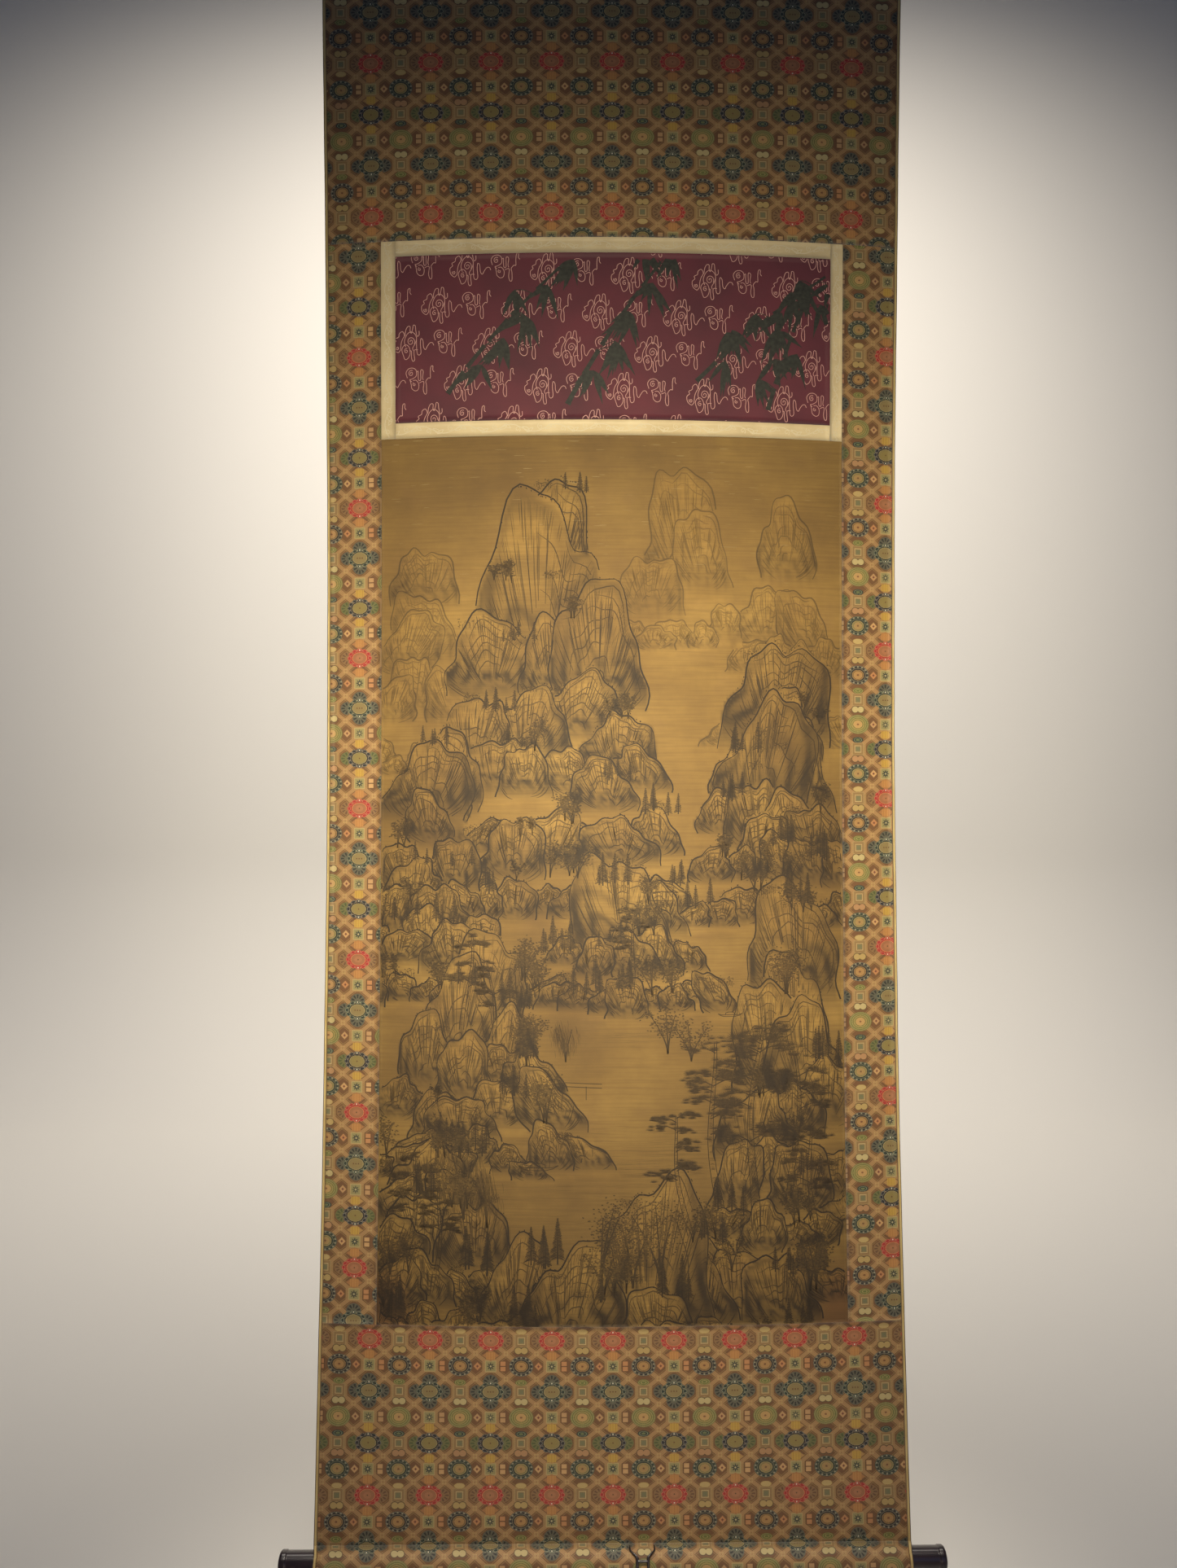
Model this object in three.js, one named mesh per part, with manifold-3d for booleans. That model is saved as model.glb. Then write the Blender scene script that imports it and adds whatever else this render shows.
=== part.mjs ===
// A Chinese hanging scroll with its roller, as it hangs: a mosaic of silk and brocade pieces on one
// long curved sheet, wrapped at its foot round a wooden rod with two turned knobs.
// Millimetres, +Z up. The origin is the middle of the scroll's top edge, the painted face looks to -Y.

import * as THREE from 'three';
import { mergeVertices } from 'three/addons/utils/BufferGeometryUtils.js';
import Module from 'manifold-3d';

const wasm = await Module();
wasm.setup();

// Driving dimensions

const clothWidth = 750;
const clothThickness = 1.2;
const gap = 0.3; // between neighbouring pieces
const edgingWidth = 4.5;
const stripWidth = 70; // brocade strips at both sides

// heights of the rows of pieces, from the top edge down to the crease above the roller
const topPanelHeight = 445;
const borderTopHeight = 20;
const inscriptionHeight = 215.5;
const borderBottomHeight = 20;
const paintingHeight = 1133;
const bottomPanelHeight = 266.5;
const borderLeftWidth = 19;
const borderRightWidth = 16.5;

// how the sheet hangs: its middle stands forward of its side edges, most at half height,
// and its lower half stands a little back
const cupDepth = 41;
const setBack = 6.5;

const wrapRadius = 18; // outside of the cloth on the roller
const creaseAngle = rad(24); // where the sheet meets the roller, behind the roller's top
const wrapSweep = rad(344); // from the crease over the front and round to the back
const wrapTrim = 4; // the wrapped cloth is cut narrower by this much at each side
const trimSweep = rad(60); // the stretch of the wrap over which the trim grows

const knobRadius = 14;
const rimRadius = 14.8;
const knobLength = 44;

// longest steps of a sheet's facets: across it, down it and round the roller
const longestAcross = 62;
const longestDown = 66;
const longestWrapped = wrapRadius * rad(12);

const forkCentre = 35.5; // across, from the middle of the cloth
const forkLegSpacing = 13.5;
const forkTipSpacing = 30.5;
const forkLegRadius = 1.9;
const forkTipRadius = 0.8;
const forkClear = 0.5; // between its bars and the cloth
// places round the roller, counted forward from its top
const forkTipAngle = rad(4);
const forkSplayedAngle = rad(22); // from here up the prongs stand at their full spacing
const forkThroatAngle = rad(52);
const forkCrossAngle = rad(60);
const forkBackCrossAngle = rad(222);
const forkBackAngle = rad(230);

// Worked-out sizes

const creaseDown = topPanelHeight + borderTopHeight + inscriptionHeight + borderBottomHeight
  + paintingHeight + bottomPanelHeight;
const wrapEnd = creaseDown + wrapRadius * wrapSweep;
const rodRadius = wrapRadius - clothThickness - gap;
const rodHalf = clothWidth / 2 - wrapTrim;
const rollerY = -wrapRadius * Math.sin(creaseAngle);
const rollerZ = -creaseDown - wrapRadius * Math.cos(creaseAngle);

const clothHalf = clothWidth / 2;
const brocadeHalf = clothHalf - edgingWidth; // outer edge of the brocade
const pictureHalf = brocadeHalf - stripWidth; // outer edge of the painting and the damask frame

const materials = {
  brocade: cloth('#8a7350'),
  damask: cloth('#c9b98f'),
  cloudSilk: cloth('#5c1f35'),
  paintingSilk: cloth('#8c7444'),
  edging: cloth('#b9a878'),
  rodWood: new THREE.MeshStandardMaterial({ color: '#a98660', roughness: 0.7, metalness: 0 }),
  knobWood: new THREE.MeshStandardMaterial({ color: '#2a1719', roughness: 0.35, metalness: 0 }),
  forkMetal: new THREE.MeshStandardMaterial({ color: '#2b2426', roughness: 0.4, metalness: 0.6 }),
};

function rad(degrees) {
  return THREE.MathUtils.degToRad(degrees);
}

function cloth(color) {
  return new THREE.MeshStandardMaterial({ color, roughness: 0.85, metalness: 0 });
}

// The sheet's front face at `across` from the middle and `down` from the top edge, with the
// direction that looks out of it. Across, the hanging sheet is an arc (its sine and cosine as short
// series) whose sagitta follows one half wave from the top edge to the crease; below the crease
// it is a circle round the roller.
function sheetFrame(across, down) {
  if (down <= creaseDown) {
    const share = down / creaseDown;
    const bend = 8 * cupDepth * Math.sin(Math.PI * share) / clothWidth ** 2; // one over the radius
    const turn = bend * across;
    const back = setBack * Math.sin(Math.PI * share ** 3) + across * turn / 2 * (1 - turn ** 2 / 12);
    return {
      place: new THREE.Vector3(across * (1 - turn ** 2 / 6), back, -down),
      out: new THREE.Vector3(Math.sin(turn), -Math.cos(turn), 0),
    };
  }
  const swept = (down - creaseDown) / wrapRadius;
  const angle = creaseAngle - swept;
  const trim = Math.min(swept / trimSweep, 1) * wrapTrim / clothHalf;
  const out = new THREE.Vector3(0, Math.sin(angle), Math.cos(angle));
  const place = new THREE.Vector3(across * (1 - trim), rollerY, rollerZ).addScaledVector(out, wrapRadius);
  return { place, out };
}

function frontPoint(across, down) {
  return sheetFrame(across, down).place;
}

// The sheet's back face: the front moved in by the thickness. At the crease the two stretches
// turn a corner, so the back face has its corner where their two offset faces meet.
function backPoint(across, down) {
  const front = sheetFrame(across, down);
  if (Math.abs(down - creaseDown) > 1e-6) {
    return front.place.addScaledVector(front.out, -clothThickness);
  }
  const rise = Math.cos(creaseAngle) / (1 - Math.sin(creaseAngle));
  return front.place.add(new THREE.Vector3(0, clothThickness, -clothThickness * rise));
}

// Steps from `from` to `to`, none longer than `longest`
function steps(from, to, longest) {
  const count = Math.max(1, Math.ceil((to - from) / longest - 1e-9));
  return Array.from({ length: count + 1 }, (_, i) => from + (to - from) * i / count);
}

// One cloth piece: a closed sheet between two places across and two places down.
// Each piece is drawn in by half the gap on the sides where it has a neighbour.
function sheetPiece(name, material, left, right, top, bottom) {
  const half = gap / 2;
  const inset = (value, outer, sign) => (Math.abs(value - outer) < 1e-6 ? value : value + sign * half);
  const acrossList = steps(inset(left, -clothHalf, 1), inset(right, clothHalf, -1), longestAcross);
  const start = inset(top, 0, 1);
  const end = inset(bottom, wrapEnd, -1);
  const downList = end > creaseDown
    ? [...steps(start, creaseDown, longestDown), ...steps(creaseDown, end, longestWrapped).slice(1)]
    : steps(start, end, longestDown);
  const columns = acrossList.length;
  const rows = downList.length;
  const positions = [];
  for (const face of [frontPoint, backPoint]) {
    for (const down of downList) {
      for (const across of acrossList) positions.push(...face(across, down).toArray());
    }
  }
  const at = (side, row, column) => (side * rows + row) * columns + column;
  const index = [];
  const quad = (a, b, c, d) => index.push(a, b, c, a, c, d);
  for (let r = 0; r < rows - 1; r++) {
    for (let c = 0; c < columns - 1; c++) {
      quad(at(0, r, c), at(0, r + 1, c), at(0, r + 1, c + 1), at(0, r, c + 1));
      quad(at(1, r, c), at(1, r, c + 1), at(1, r + 1, c + 1), at(1, r + 1, c));
    }
    quad(at(0, r, 0), at(1, r, 0), at(1, r + 1, 0), at(0, r + 1, 0));
    quad(at(0, r, columns - 1), at(0, r + 1, columns - 1), at(1, r + 1, columns - 1), at(1, r, columns - 1));
  }
  for (let c = 0; c < columns - 1; c++) {
    quad(at(0, 0, c), at(0, 0, c + 1), at(1, 0, c + 1), at(1, 0, c));
    quad(at(0, rows - 1, c), at(1, rows - 1, c), at(1, rows - 1, c + 1), at(0, rows - 1, c + 1));
  }
  return named(name, material, indexed(positions, index));
}

function indexed(positions, index) {
  const geometry = new THREE.BufferGeometry();
  geometry.setAttribute('position', new THREE.Float32BufferAttribute(positions, 3));
  geometry.setIndex(index);
  return geometry;
}

function named(name, material, geometry) {
  geometry.computeVertexNormals();
  const mesh = new THREE.Mesh(geometry, material);
  mesh.name = name;
  return mesh;
}

// The cloth pieces, row by row from the top edge down
function clothPieces() {
  const frameTop = topPanelHeight;
  const inscriptionTop = frameTop + borderTopHeight;
  const inscriptionBottom = inscriptionTop + inscriptionHeight;
  const paintingTop = inscriptionBottom + borderBottomHeight;
  const paintingBottom = paintingTop + paintingHeight;
  const inscriptionLeft = -pictureHalf + borderLeftWidth;
  const inscriptionRight = pictureHalf - borderRightWidth;
  const { brocade, damask, cloudSilk, paintingSilk, edging } = materials;
  return [
    sheetPiece('top_panel', brocade, -brocadeHalf, brocadeHalf, 0, frameTop),
    sheetPiece('left_strip', brocade, -brocadeHalf, -pictureHalf, frameTop, paintingBottom),
    sheetPiece('right_strip', brocade, pictureHalf, brocadeHalf, frameTop, paintingBottom),
    sheetPiece('border_left', damask, -pictureHalf, inscriptionLeft, frameTop, paintingTop),
    sheetPiece('border_right', damask, inscriptionRight, pictureHalf, frameTop, paintingTop),
    sheetPiece('border_top', damask, inscriptionLeft, inscriptionRight, frameTop, inscriptionTop),
    sheetPiece('border_bottom', damask, inscriptionLeft, inscriptionRight, inscriptionBottom, paintingTop),
    sheetPiece('inscription_silk', cloudSilk, inscriptionLeft, inscriptionRight,
      inscriptionTop, inscriptionBottom),
    sheetPiece('painting_silk', paintingSilk, -pictureHalf, pictureHalf, paintingTop, paintingBottom),
    sheetPiece('bottom_panel', brocade, -brocadeHalf, brocadeHalf, paintingBottom, wrapEnd),
    sheetPiece('left_edging', edging, -clothHalf, -brocadeHalf, 0, wrapEnd),
    sheetPiece('right_edging', edging, brocadeHalf, clothHalf, 0, wrapEnd),
  ];
}

// A turned piece on the roller's axis; profile points are [place along the axis, radius]
function turned(name, material, profile, placeX, side) {
  const points = profile.map(([along, radius]) => new THREE.Vector2(radius, along));
  const geometry = new THREE.LatheGeometry(points, 30);
  geometry.rotateZ(-Math.PI / 2);
  if (side < 0) geometry.rotateY(Math.PI);
  const mesh = named(name, material, geometry);
  mesh.position.set(placeX, rollerY, rollerZ);
  return mesh;
}

function rollerRod() {
  const profile = [[0, 0], [0, rodRadius], [2 * rodHalf, rodRadius], [2 * rodHalf, 0]];
  return turned('roller_rod', materials.rodWood, profile, -rodHalf, 1);
}

// Straight barrel, raised rim near the outer end, rounded shoulder and a flat end face
function knob(name, side) {
  const rimStart = knobLength - 9;
  const rimEnd = knobLength - 4;
  const endRadius = rimRadius - 5;
  const profile = [
    [0, 0],
    [0, knobRadius - 0.6],
    [0.6, knobRadius],
    [rimStart - 1, knobRadius],
    [rimStart, rimRadius - 0.2],
    [rimStart + 1, rimRadius],
    [rimEnd, rimRadius],
  ];
  const shoulder = 4;
  for (let i = 1; i <= shoulder; i++) {
    const angle = Math.PI / 2 * i / shoulder;
    profile.push([
      rimEnd + (knobLength - rimEnd) * Math.sin(angle),
      endRadius + (rimRadius - endRadius) * Math.cos(angle),
    ]);
  }
  profile.push([knobLength, 0]);
  return turned(name, materials.knobWood, profile, side * (rodHalf + gap), side);
}

// One prong of the fork: a round bar that hugs the roller from its back, under it and up its front,
// then leans outwards and thins to a point near the roller's top
function forkProng(side) {
  const ring = 8;
  const count = 20;
  const positions = [];
  const index = [];
  for (let i = 0; i <= count; i++) {
    const share = i / count;
    const angle = forkBackAngle + (forkTipAngle - forkBackAngle) * share;
    const above = forkThroatAngle - angle;
    const splay = THREE.MathUtils.smoothstep(above, 0, forkThroatAngle - forkSplayedAngle);
    const spacing = forkLegSpacing + (forkTipSpacing - forkLegSpacing) * splay;
    const thin = THREE.MathUtils.smoothstep(above, 0, forkThroatAngle - forkTipAngle);
    const radius = forkLegRadius + (forkTipRadius - forkLegRadius) * thin;
    const out = new THREE.Vector3(0, -Math.sin(angle), Math.cos(angle));
    const centre = new THREE.Vector3(forkCentre + side * spacing / 2, rollerY, rollerZ)
      .addScaledVector(out, wrapRadius + forkClear + radius);
    for (let k = 0; k < ring; k++) {
      const turn = 2 * Math.PI * k / ring;
      const point = centre.clone().addScaledVector(out, radius * Math.cos(turn));
      point.x += radius * Math.sin(turn);
      positions.push(...point.toArray());
    }
  }
  const at = (i, k) => i * ring + k % ring;
  for (let i = 0; i < count; i++) {
    for (let k = 0; k < ring; k++) {
      index.push(at(i, k), at(i, k + 1), at(i + 1, k + 1), at(i, k), at(i + 1, k + 1), at(i + 1, k));
    }
  }
  for (let k = 1; k < ring - 1; k++) {
    index.push(at(0, 0), at(0, k + 1), at(0, k));
    index.push(at(count, 0), at(count, k), at(count, k + 1));
  }
  return indexed(positions, index);
}

// A short round bar across both prongs at one place round the roller
function forkCross(angle, radius) {
  const geometry = new THREE.CylinderGeometry(radius, radius, forkLegSpacing, 8);
  geometry.rotateZ(Math.PI / 2);
  const out = wrapRadius + forkClear + forkLegRadius;
  geometry.translate(forkCentre, rollerY - out * Math.sin(angle), rollerZ + out * Math.cos(angle));
  return geometry;
}

function toSolid(geometry) {
  geometry.deleteAttribute('normal');
  geometry.deleteAttribute('uv');
  const merged = mergeVertices(geometry);
  return new wasm.Manifold(new wasm.Mesh({
    numProp: 3,
    vertProperties: new Float32Array(merged.attributes.position.array),
    triVerts: new Uint32Array(merged.index.array),
  }));
}

function rollerFork() {
  const pieces = [
    forkProng(-1),
    forkProng(1),
    forkCross(forkCrossAngle, forkLegRadius * 0.8),
    forkCross(forkBackCrossAngle, forkLegRadius * 0.9),
  ];
  const solid = pieces.map(toSolid).reduce((whole, piece) => whole.add(piece));
  const { vertProperties, triVerts } = solid.getMesh();
  return named('roller_fork', materials.forkMetal, indexed([...vertProperties], [...triVerts]));
}

const scroll = new THREE.Group();
scroll.add(...clothPieces(), rollerRod(), knob('left_knob', -1), knob('right_knob', 1), rollerFork());

export default scroll;
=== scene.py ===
import math

import bpy
import numpy as np
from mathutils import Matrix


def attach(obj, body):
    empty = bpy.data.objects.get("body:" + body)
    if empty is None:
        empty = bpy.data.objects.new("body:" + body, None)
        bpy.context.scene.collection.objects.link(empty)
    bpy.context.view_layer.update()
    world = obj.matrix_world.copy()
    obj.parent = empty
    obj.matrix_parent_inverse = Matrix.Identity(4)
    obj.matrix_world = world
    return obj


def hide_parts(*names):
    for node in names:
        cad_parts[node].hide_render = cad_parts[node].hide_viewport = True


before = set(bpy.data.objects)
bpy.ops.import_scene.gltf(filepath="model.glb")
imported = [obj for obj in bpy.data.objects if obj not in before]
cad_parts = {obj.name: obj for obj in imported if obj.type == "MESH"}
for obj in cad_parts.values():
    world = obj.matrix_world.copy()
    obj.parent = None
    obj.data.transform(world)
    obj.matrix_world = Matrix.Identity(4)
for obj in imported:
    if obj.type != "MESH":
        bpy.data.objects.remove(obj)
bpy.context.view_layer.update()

mm = 0.001
picture = {"width": 1446, "height": 1926}  # the photograph's own pixels


def linearColour(hexText, alpha=1.0):
    # sRGB hex to linear: under 0.04045 divided by 12.92, above it ((c + 0.055) / 1.055) to the power 2.4
    srgb = [int(hexText[k:k + 2], 16) / 255 for k in (1, 3, 5)]
    return tuple(c / 12.92 if c <= 0.04045 else ((c + 0.055) / 1.055) ** 2.4 for c in srgb) + (alpha,)


# How the mounted cloth hangs: a shallow cup across its width, then a turn round the roller
hang = {
    "width": 750 * mm,
    "thickness": 1.2 * mm,
    "cupDepth": 41 * mm,
    "setBack": 6.5 * mm,
    "creaseDown": 2100 * mm,  # where the hanging cloth meets the roller
    "wrapRadius": 18 * mm,
    "creaseAngle": math.radians(24),  # behind the roller's top
    "wrapSweep": math.radians(344),
    "wrapTrim": 4 * mm,  # the wrapped end is cut this much narrower at each side
    "trimSweep": math.radians(60),
    "rippleDepth": 0.45 * mm,
}
hang["halfWidth"] = hang["width"] / 2
hang["clothEnd"] = hang["creaseDown"] + hang["wrapSweep"] * hang["wrapRadius"]
hang["rollerY"] = -hang["wrapRadius"] * math.sin(hang["creaseAngle"])
hang["rollerZ"] = -hang["creaseDown"] - hang["wrapRadius"] * math.cos(hang["creaseAngle"])


def sheetFrame(across, down):
    # Place and outward direction of the front face for arrays of flat sizes. Hanging: a shallow
    # arc across, bend = 8 cup sin(pi down/crease) / width^2. Wrapped: a circle round the roller.
    share = np.clip(down / hang["creaseDown"], 0, 1)
    bend = 8 * hang["cupDepth"] * np.sin(np.pi * share) / hang["width"] ** 2
    turn = bend * across
    back = hang["setBack"] * np.sin(np.pi * share ** 3) + across * turn / 2 * (1 - turn ** 2 / 12)
    hanging = np.stack([across * (1 - turn ** 2 / 6), back, -down], -1)
    hangingOut = np.stack([np.sin(turn), -np.cos(turn), 0 * turn], -1)
    swept = np.maximum(down - hang["creaseDown"], 0) / hang["wrapRadius"]
    angle = hang["creaseAngle"] - swept
    trim = np.minimum(swept / hang["trimSweep"], 1) * hang["wrapTrim"] / hang["halfWidth"]
    wrappedOut = np.stack([0 * angle, np.sin(angle), np.cos(angle)], -1)
    centre = np.stack([across * (1 - trim), 0 * angle + hang["rollerY"], 0 * angle + hang["rollerZ"]], -1)
    wrapped = centre + wrappedOut * hang["wrapRadius"]
    onRoller = (down > hang["creaseDown"])[..., None]
    return np.where(onRoller, wrapped, hanging), np.where(onRoller, wrappedOut, hangingOut)


def ripple(across, down):
    # Slow swells of a paper-backed hanging that was rolled up for years: three crossed sine waves,
    # fading out towards the top edge and the roller
    x = across / hang["halfWidth"]
    slow = np.sin(2 * np.pi * down / 0.43 + 0.9 * np.sin(1.7 * x + 0.4))
    short = 0.45 * np.sin(2 * np.pi * down / 0.128 + 1.3 * x) * x ** 2
    side = 0.35 * np.sin(2 * np.pi * (down / 0.71 + 0.4 * x)) * x
    fade = np.clip((hang["creaseDown"] - down) / 0.08, 0, 1) * np.clip(down / 0.05, 0, 1)
    return hang["rippleDepth"] * fade * (slow + short + side)


def gridFaces(rows, columns, offset=0):
    # Quads of a grid of rows x columns points, counted row by row
    r, c = np.meshgrid(np.arange(rows - 1), np.arange(columns - 1), indexing="ij")
    start = (r * columns + c).ravel() + offset
    return np.stack([start, start + columns, start + columns + 1, start + 1], -1)


def newMesh(name, points, quads, uv=None, materials=(), materialIndex=None):
    # Puts a mesh of quads into the scene; uv holds each point's flat size in metres
    mesh = bpy.data.meshes.new(name)
    mesh.vertices.add(len(points))
    mesh.vertices.foreach_set("co", np.ascontiguousarray(points, np.float32).ravel())
    mesh.loops.add(quads.size)
    mesh.loops.foreach_set("vertex_index", quads.astype(np.int32).ravel())
    mesh.polygons.add(len(quads))
    size = quads.shape[1]
    mesh.polygons.foreach_set("loop_start", np.arange(0, quads.size, size, dtype=np.int32))
    mesh.polygons.foreach_set("use_smooth", np.full(len(quads), True))
    for material in materials:
        mesh.materials.append(material)
    if materialIndex is not None:
        mesh.polygons.foreach_set("material_index", np.asarray(materialIndex, np.int32))
    if uv is not None:
        layer = mesh.uv_layers.new(name="cloth")
        layer.data.foreach_set("uv", uv[quads.ravel()].astype(np.float32).ravel())
    mesh.update()
    mesh.validate()
    piece = bpy.data.objects.new(name, mesh)
    bpy.context.scene.collection.objects.link(piece)
    return piece


def steps(start, end, step, at=()):
    # Even steps from start to end, with extra lines at the places in at
    count = max(2, int(math.ceil((end - start) / step)) + 1)
    line = np.linspace(start, end, count)
    between = [a for a in at if start < a < end]
    return np.unique(np.round(np.concatenate([line, between]), 6))


def clothShell(name, across, down, step, materials):
    # A closed sheet: the front is sheetFrame plus ripple, the back lies one thickness behind it,
    # and four rims join them. The mesh keeps its flat sizes as a UV map in metres.
    nearCrease = hang["creaseDown"] + np.array([-4, -2, -1, 0, 0.001, 1, 2, 4, 7, 10]) * mm
    u = steps(across[0], across[1], step)
    v = steps(down[0], down[1], step, nearCrease)
    if down[1] > hang["creaseDown"]:  # finer rows round the roller
        v = np.unique(np.concatenate([v, steps(hang["creaseDown"] + 4 * mm, down[1], 2.2 * mm)]))
    flatDown, flatAcross = (grid.ravel() for grid in np.meshgrid(v, u, indexing="ij"))
    place, out = sheetFrame(flatAcross, flatDown)
    front = place + out * ripple(flatAcross, flatDown)[:, None]
    back = front - out * hang["thickness"]
    rows, columns = len(v), len(u)
    count = rows * columns
    frontFaces = gridFaces(rows, columns)
    backFaces = gridFaces(rows, columns, count)[:, ::-1]
    r, c = np.arange(rows), np.arange(columns)
    loops = [c[::-1], r * columns, (rows - 1) * columns + c, (r * columns + columns - 1)[::-1]]
    rims = [np.stack([k[:-1], k[1:], k[1:] + count, k[:-1] + count], -1) for k in loops]
    quads = np.concatenate([frontFaces, backFaces, *rims])
    index = np.zeros(len(quads), int)
    index[len(frontFaces):] = 1  # the back and the rims show the backing paper
    flat = np.stack([flatAcross, flatDown], -1)
    points = np.concatenate([front, back])
    return newMesh(name, points, quads, np.concatenate([flat, flat]), materials, index)


def flatSizes(piece):
    # A sheet's flat sizes at its vertices, read back from its UV map
    mesh = piece.data
    uv = np.zeros(len(mesh.loops) * 2, np.float32)
    corner = np.zeros(len(mesh.loops), np.int32)
    mesh.uv_layers["cloth"].data.foreach_get("uv", uv)
    mesh.loops.foreach_get("vertex_index", corner)
    flat = np.zeros((len(mesh.vertices), 2))
    flat[corner] = uv.reshape(-1, 2)
    return flat


def addNode(tree, kind, inputs=(), out=0, ramp=None, **settings):
    # Adds a shader node; inputs are a list in socket order, or a dictionary by socket number or name,
    # of values or of other nodes' outputs. Returns the output number out.
    node = tree.nodes.new("ShaderNode" + kind)
    for setting, value in settings.items():
        setattr(node, setting, value)
    if ramp:
        elements = node.color_ramp.elements
        node.color_ramp.interpolation = ramp[0]
        while len(elements) < len(ramp[1]):
            elements.new(1.0)
        for element, (position, hexText) in zip(elements, ramp[1]):
            element.position = position
            element.color = linearColour(hexText)
    pairs = inputs.items() if isinstance(inputs, dict) else enumerate(inputs)
    for key, value in pairs:
        if value is None:
            continue
        if isinstance(value, bpy.types.NodeSocket):
            tree.links.new(value, node.inputs[key])
        else:
            node.inputs[key].default_value = linearColour(value) if isinstance(value, str) else value
    return node.outputs[out]


def newMaterial(name, roughness, sheen=0.0, **sockets):
    # An empty Principled material: plain numbers go straight onto the shader's own sockets
    material = bpy.data.materials.new(name)
    material.use_nodes = True
    shader = material.node_tree.nodes["Principled BSDF"]
    shader.inputs["Roughness"].default_value = roughness
    shader.inputs["Sheen Weight"].default_value = sheen
    for socket, value in sockets.items():
        shader.inputs[socket.replace("_", " ")].default_value = value
    return material, material.node_tree, shader


def inside(tree, *tests):
    # Mask that is 1 where every test holds. A test is (value, limit, soft) for a value under its
    # limit, or (value, limit, soft, "over") for one over it, soft being the half width of the
    # step between them; or it is a mask or a number, and the others are multiplied by it.
    mask = None
    for test in tests:
        if isinstance(test, tuple):
            value, limit, soft = test[:3]
            ends = (0.0, 1.0) if "over" in test[3:] else (1.0, 0.0)
            test = addNode(tree, "MapRange", [value, limit - soft, limit + soft, *ends])
        mask = test if mask is None else addNode(tree, "Math", [mask, test], operation="MULTIPLY")
    return mask


def lay(tree, below, colour, *tests):
    # Lays a colour over what is below, where every test holds
    return addNode(tree, "Mix", {0: inside(tree, *tests), 6: below, 7: colour}, out=2, data_type="RGBA")


def clothCoordinates(tree, originMm=(0, 0), turned=False, snapMm=None):
    # The piece's flat sizes in millimetres, counted from the pattern's origin
    flat = addNode(tree, "UVMap", uv_map="cloth")
    scale = 1000 * (-1 if turned else 1)
    shift = (originMm[0] * scale / -1000, originMm[1] * scale / -1000, 0)
    sized = addNode(tree, "VectorMath", [flat, (scale, scale, 0), shift], operation="MULTIPLY_ADD")
    if snapMm:
        sized = addNode(tree, "VectorMath", [sized, (snapMm, snapMm, 1)], operation="SNAP")
    return sized


# Eight-way lattice brocade: large flower rounds in rows, round rosettes between them, small squares
# and knots where the bands cross. Three rows of colours follow each other.
lattice = {
    "bandSlope": (0.6, 0.8, 24.4),  # separating band: 0.6 x + 0.8 y = 24.4 mm from a flower's middle
    "flower": (16.6, 12.4),  # half width and half height of the flower rounds' rings, in mm
    "petals": 12,
    "rosette": (15.6, 12.7),
    "bars": 14,  # in a rosette's outer ring
    "square": 4.7,  # half width of the concentric squares
    "star": 7.2,  # and of the star squares
    "knot": 3.0,
    "threadStep": 0.55,  # mm; real threads are half of that, coarsened so that the steps show
    "ground": "#8e6f44",
    "groundPale": "#9c7c50",
    "band": "#a27c52",
    "bandPale": "#ad8d5e",
    "outline": "#8f7145",
    "cartouche": "#694a28",
    "cartoucheRed": "#6c4526",
    "faded": 0.02,  # share of the ground's colour in all of them
    "yellowed": "#fbf8ec",
}
# Rings of the flower rounds from the middle outwards, as (share of the radius, colour), one list
# for each row of flowers: teal, navy, red
flowerRings = [
    [(0, "#837147"), (0.5, "#7d7350"), (0.56, "#a08c5c"), (0.605, "#1f2e26")],
    [(0, "#83733f"), (0.5, "#7a7048"), (0.56, "#a28f5c"), (0.605, "#141418")],
    [(0, "#a06a48"), (0.3, "#94603f"), (0.56, "#c07a50"), (0.605, "#9c261c")],
]
# Rings of one petal: dark core, pale outline
petalRings = [
    [(0, "#15251f"), (0.7, "#8b8f7a"), (0.88, "#1a2822")],
    [(0, "#0f121c"), (0.7, "#85817a"), (0.88, "#151515")],
    [(0, "#9c1f1e"), (0.68, "#c0705a"), (0.88, "#8a2a20")],
]
# Rings of the rosettes between them: olive, green, black-green
rosetteRings = [
    [(0, "#7a5030"), (0.09, "#b08c58"), (0.40, "#6d6a34"), (0.47, "#94824c"), (0.60, "#5d602c"),
     (0.66, "#8f8450"), (0.76, "#636632"), (0.84, "#8a8050"), (0.93, "#676838")],
    [(0, "#6a4428"), (0.08, "#9a7c4c"), (0.38, "#746c40"), (0.45, "#8f7e50"), (0.54, "#1a261e"),
     (0.66, "#6a6c56"), (0.71, "#1e2c24"), (0.90, "#666856"), (0.955, "#202c26")],
    [(0, "#6c3f22"), (0.09, "#a07a48"), (0.40, "#6a5230"), (0.46, "#8c6c40"), (0.54, "#1b1a18"),
     (0.66, "#716a58"), (0.71, "#1c1b1c"), (0.90, "#6e685a"), (0.955, "#242220")],
]
# Rings of the ovals below the rosettes
ovalRings = [
    [(0, "#636c44"), (0.35, "#1f2a28"), (0.62, "#727c60"), (0.74, "#232c28")],
    [(0, "#b09864"), (0.8, "#a88c54"), (0.9, "#7a5830")],
    [(0, "#5c642c"), (0.3, "#8f8450"), (0.5, "#5c642c"), (0.72, "#8f8450"), (0.86, "#5c642c")],
]


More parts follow.
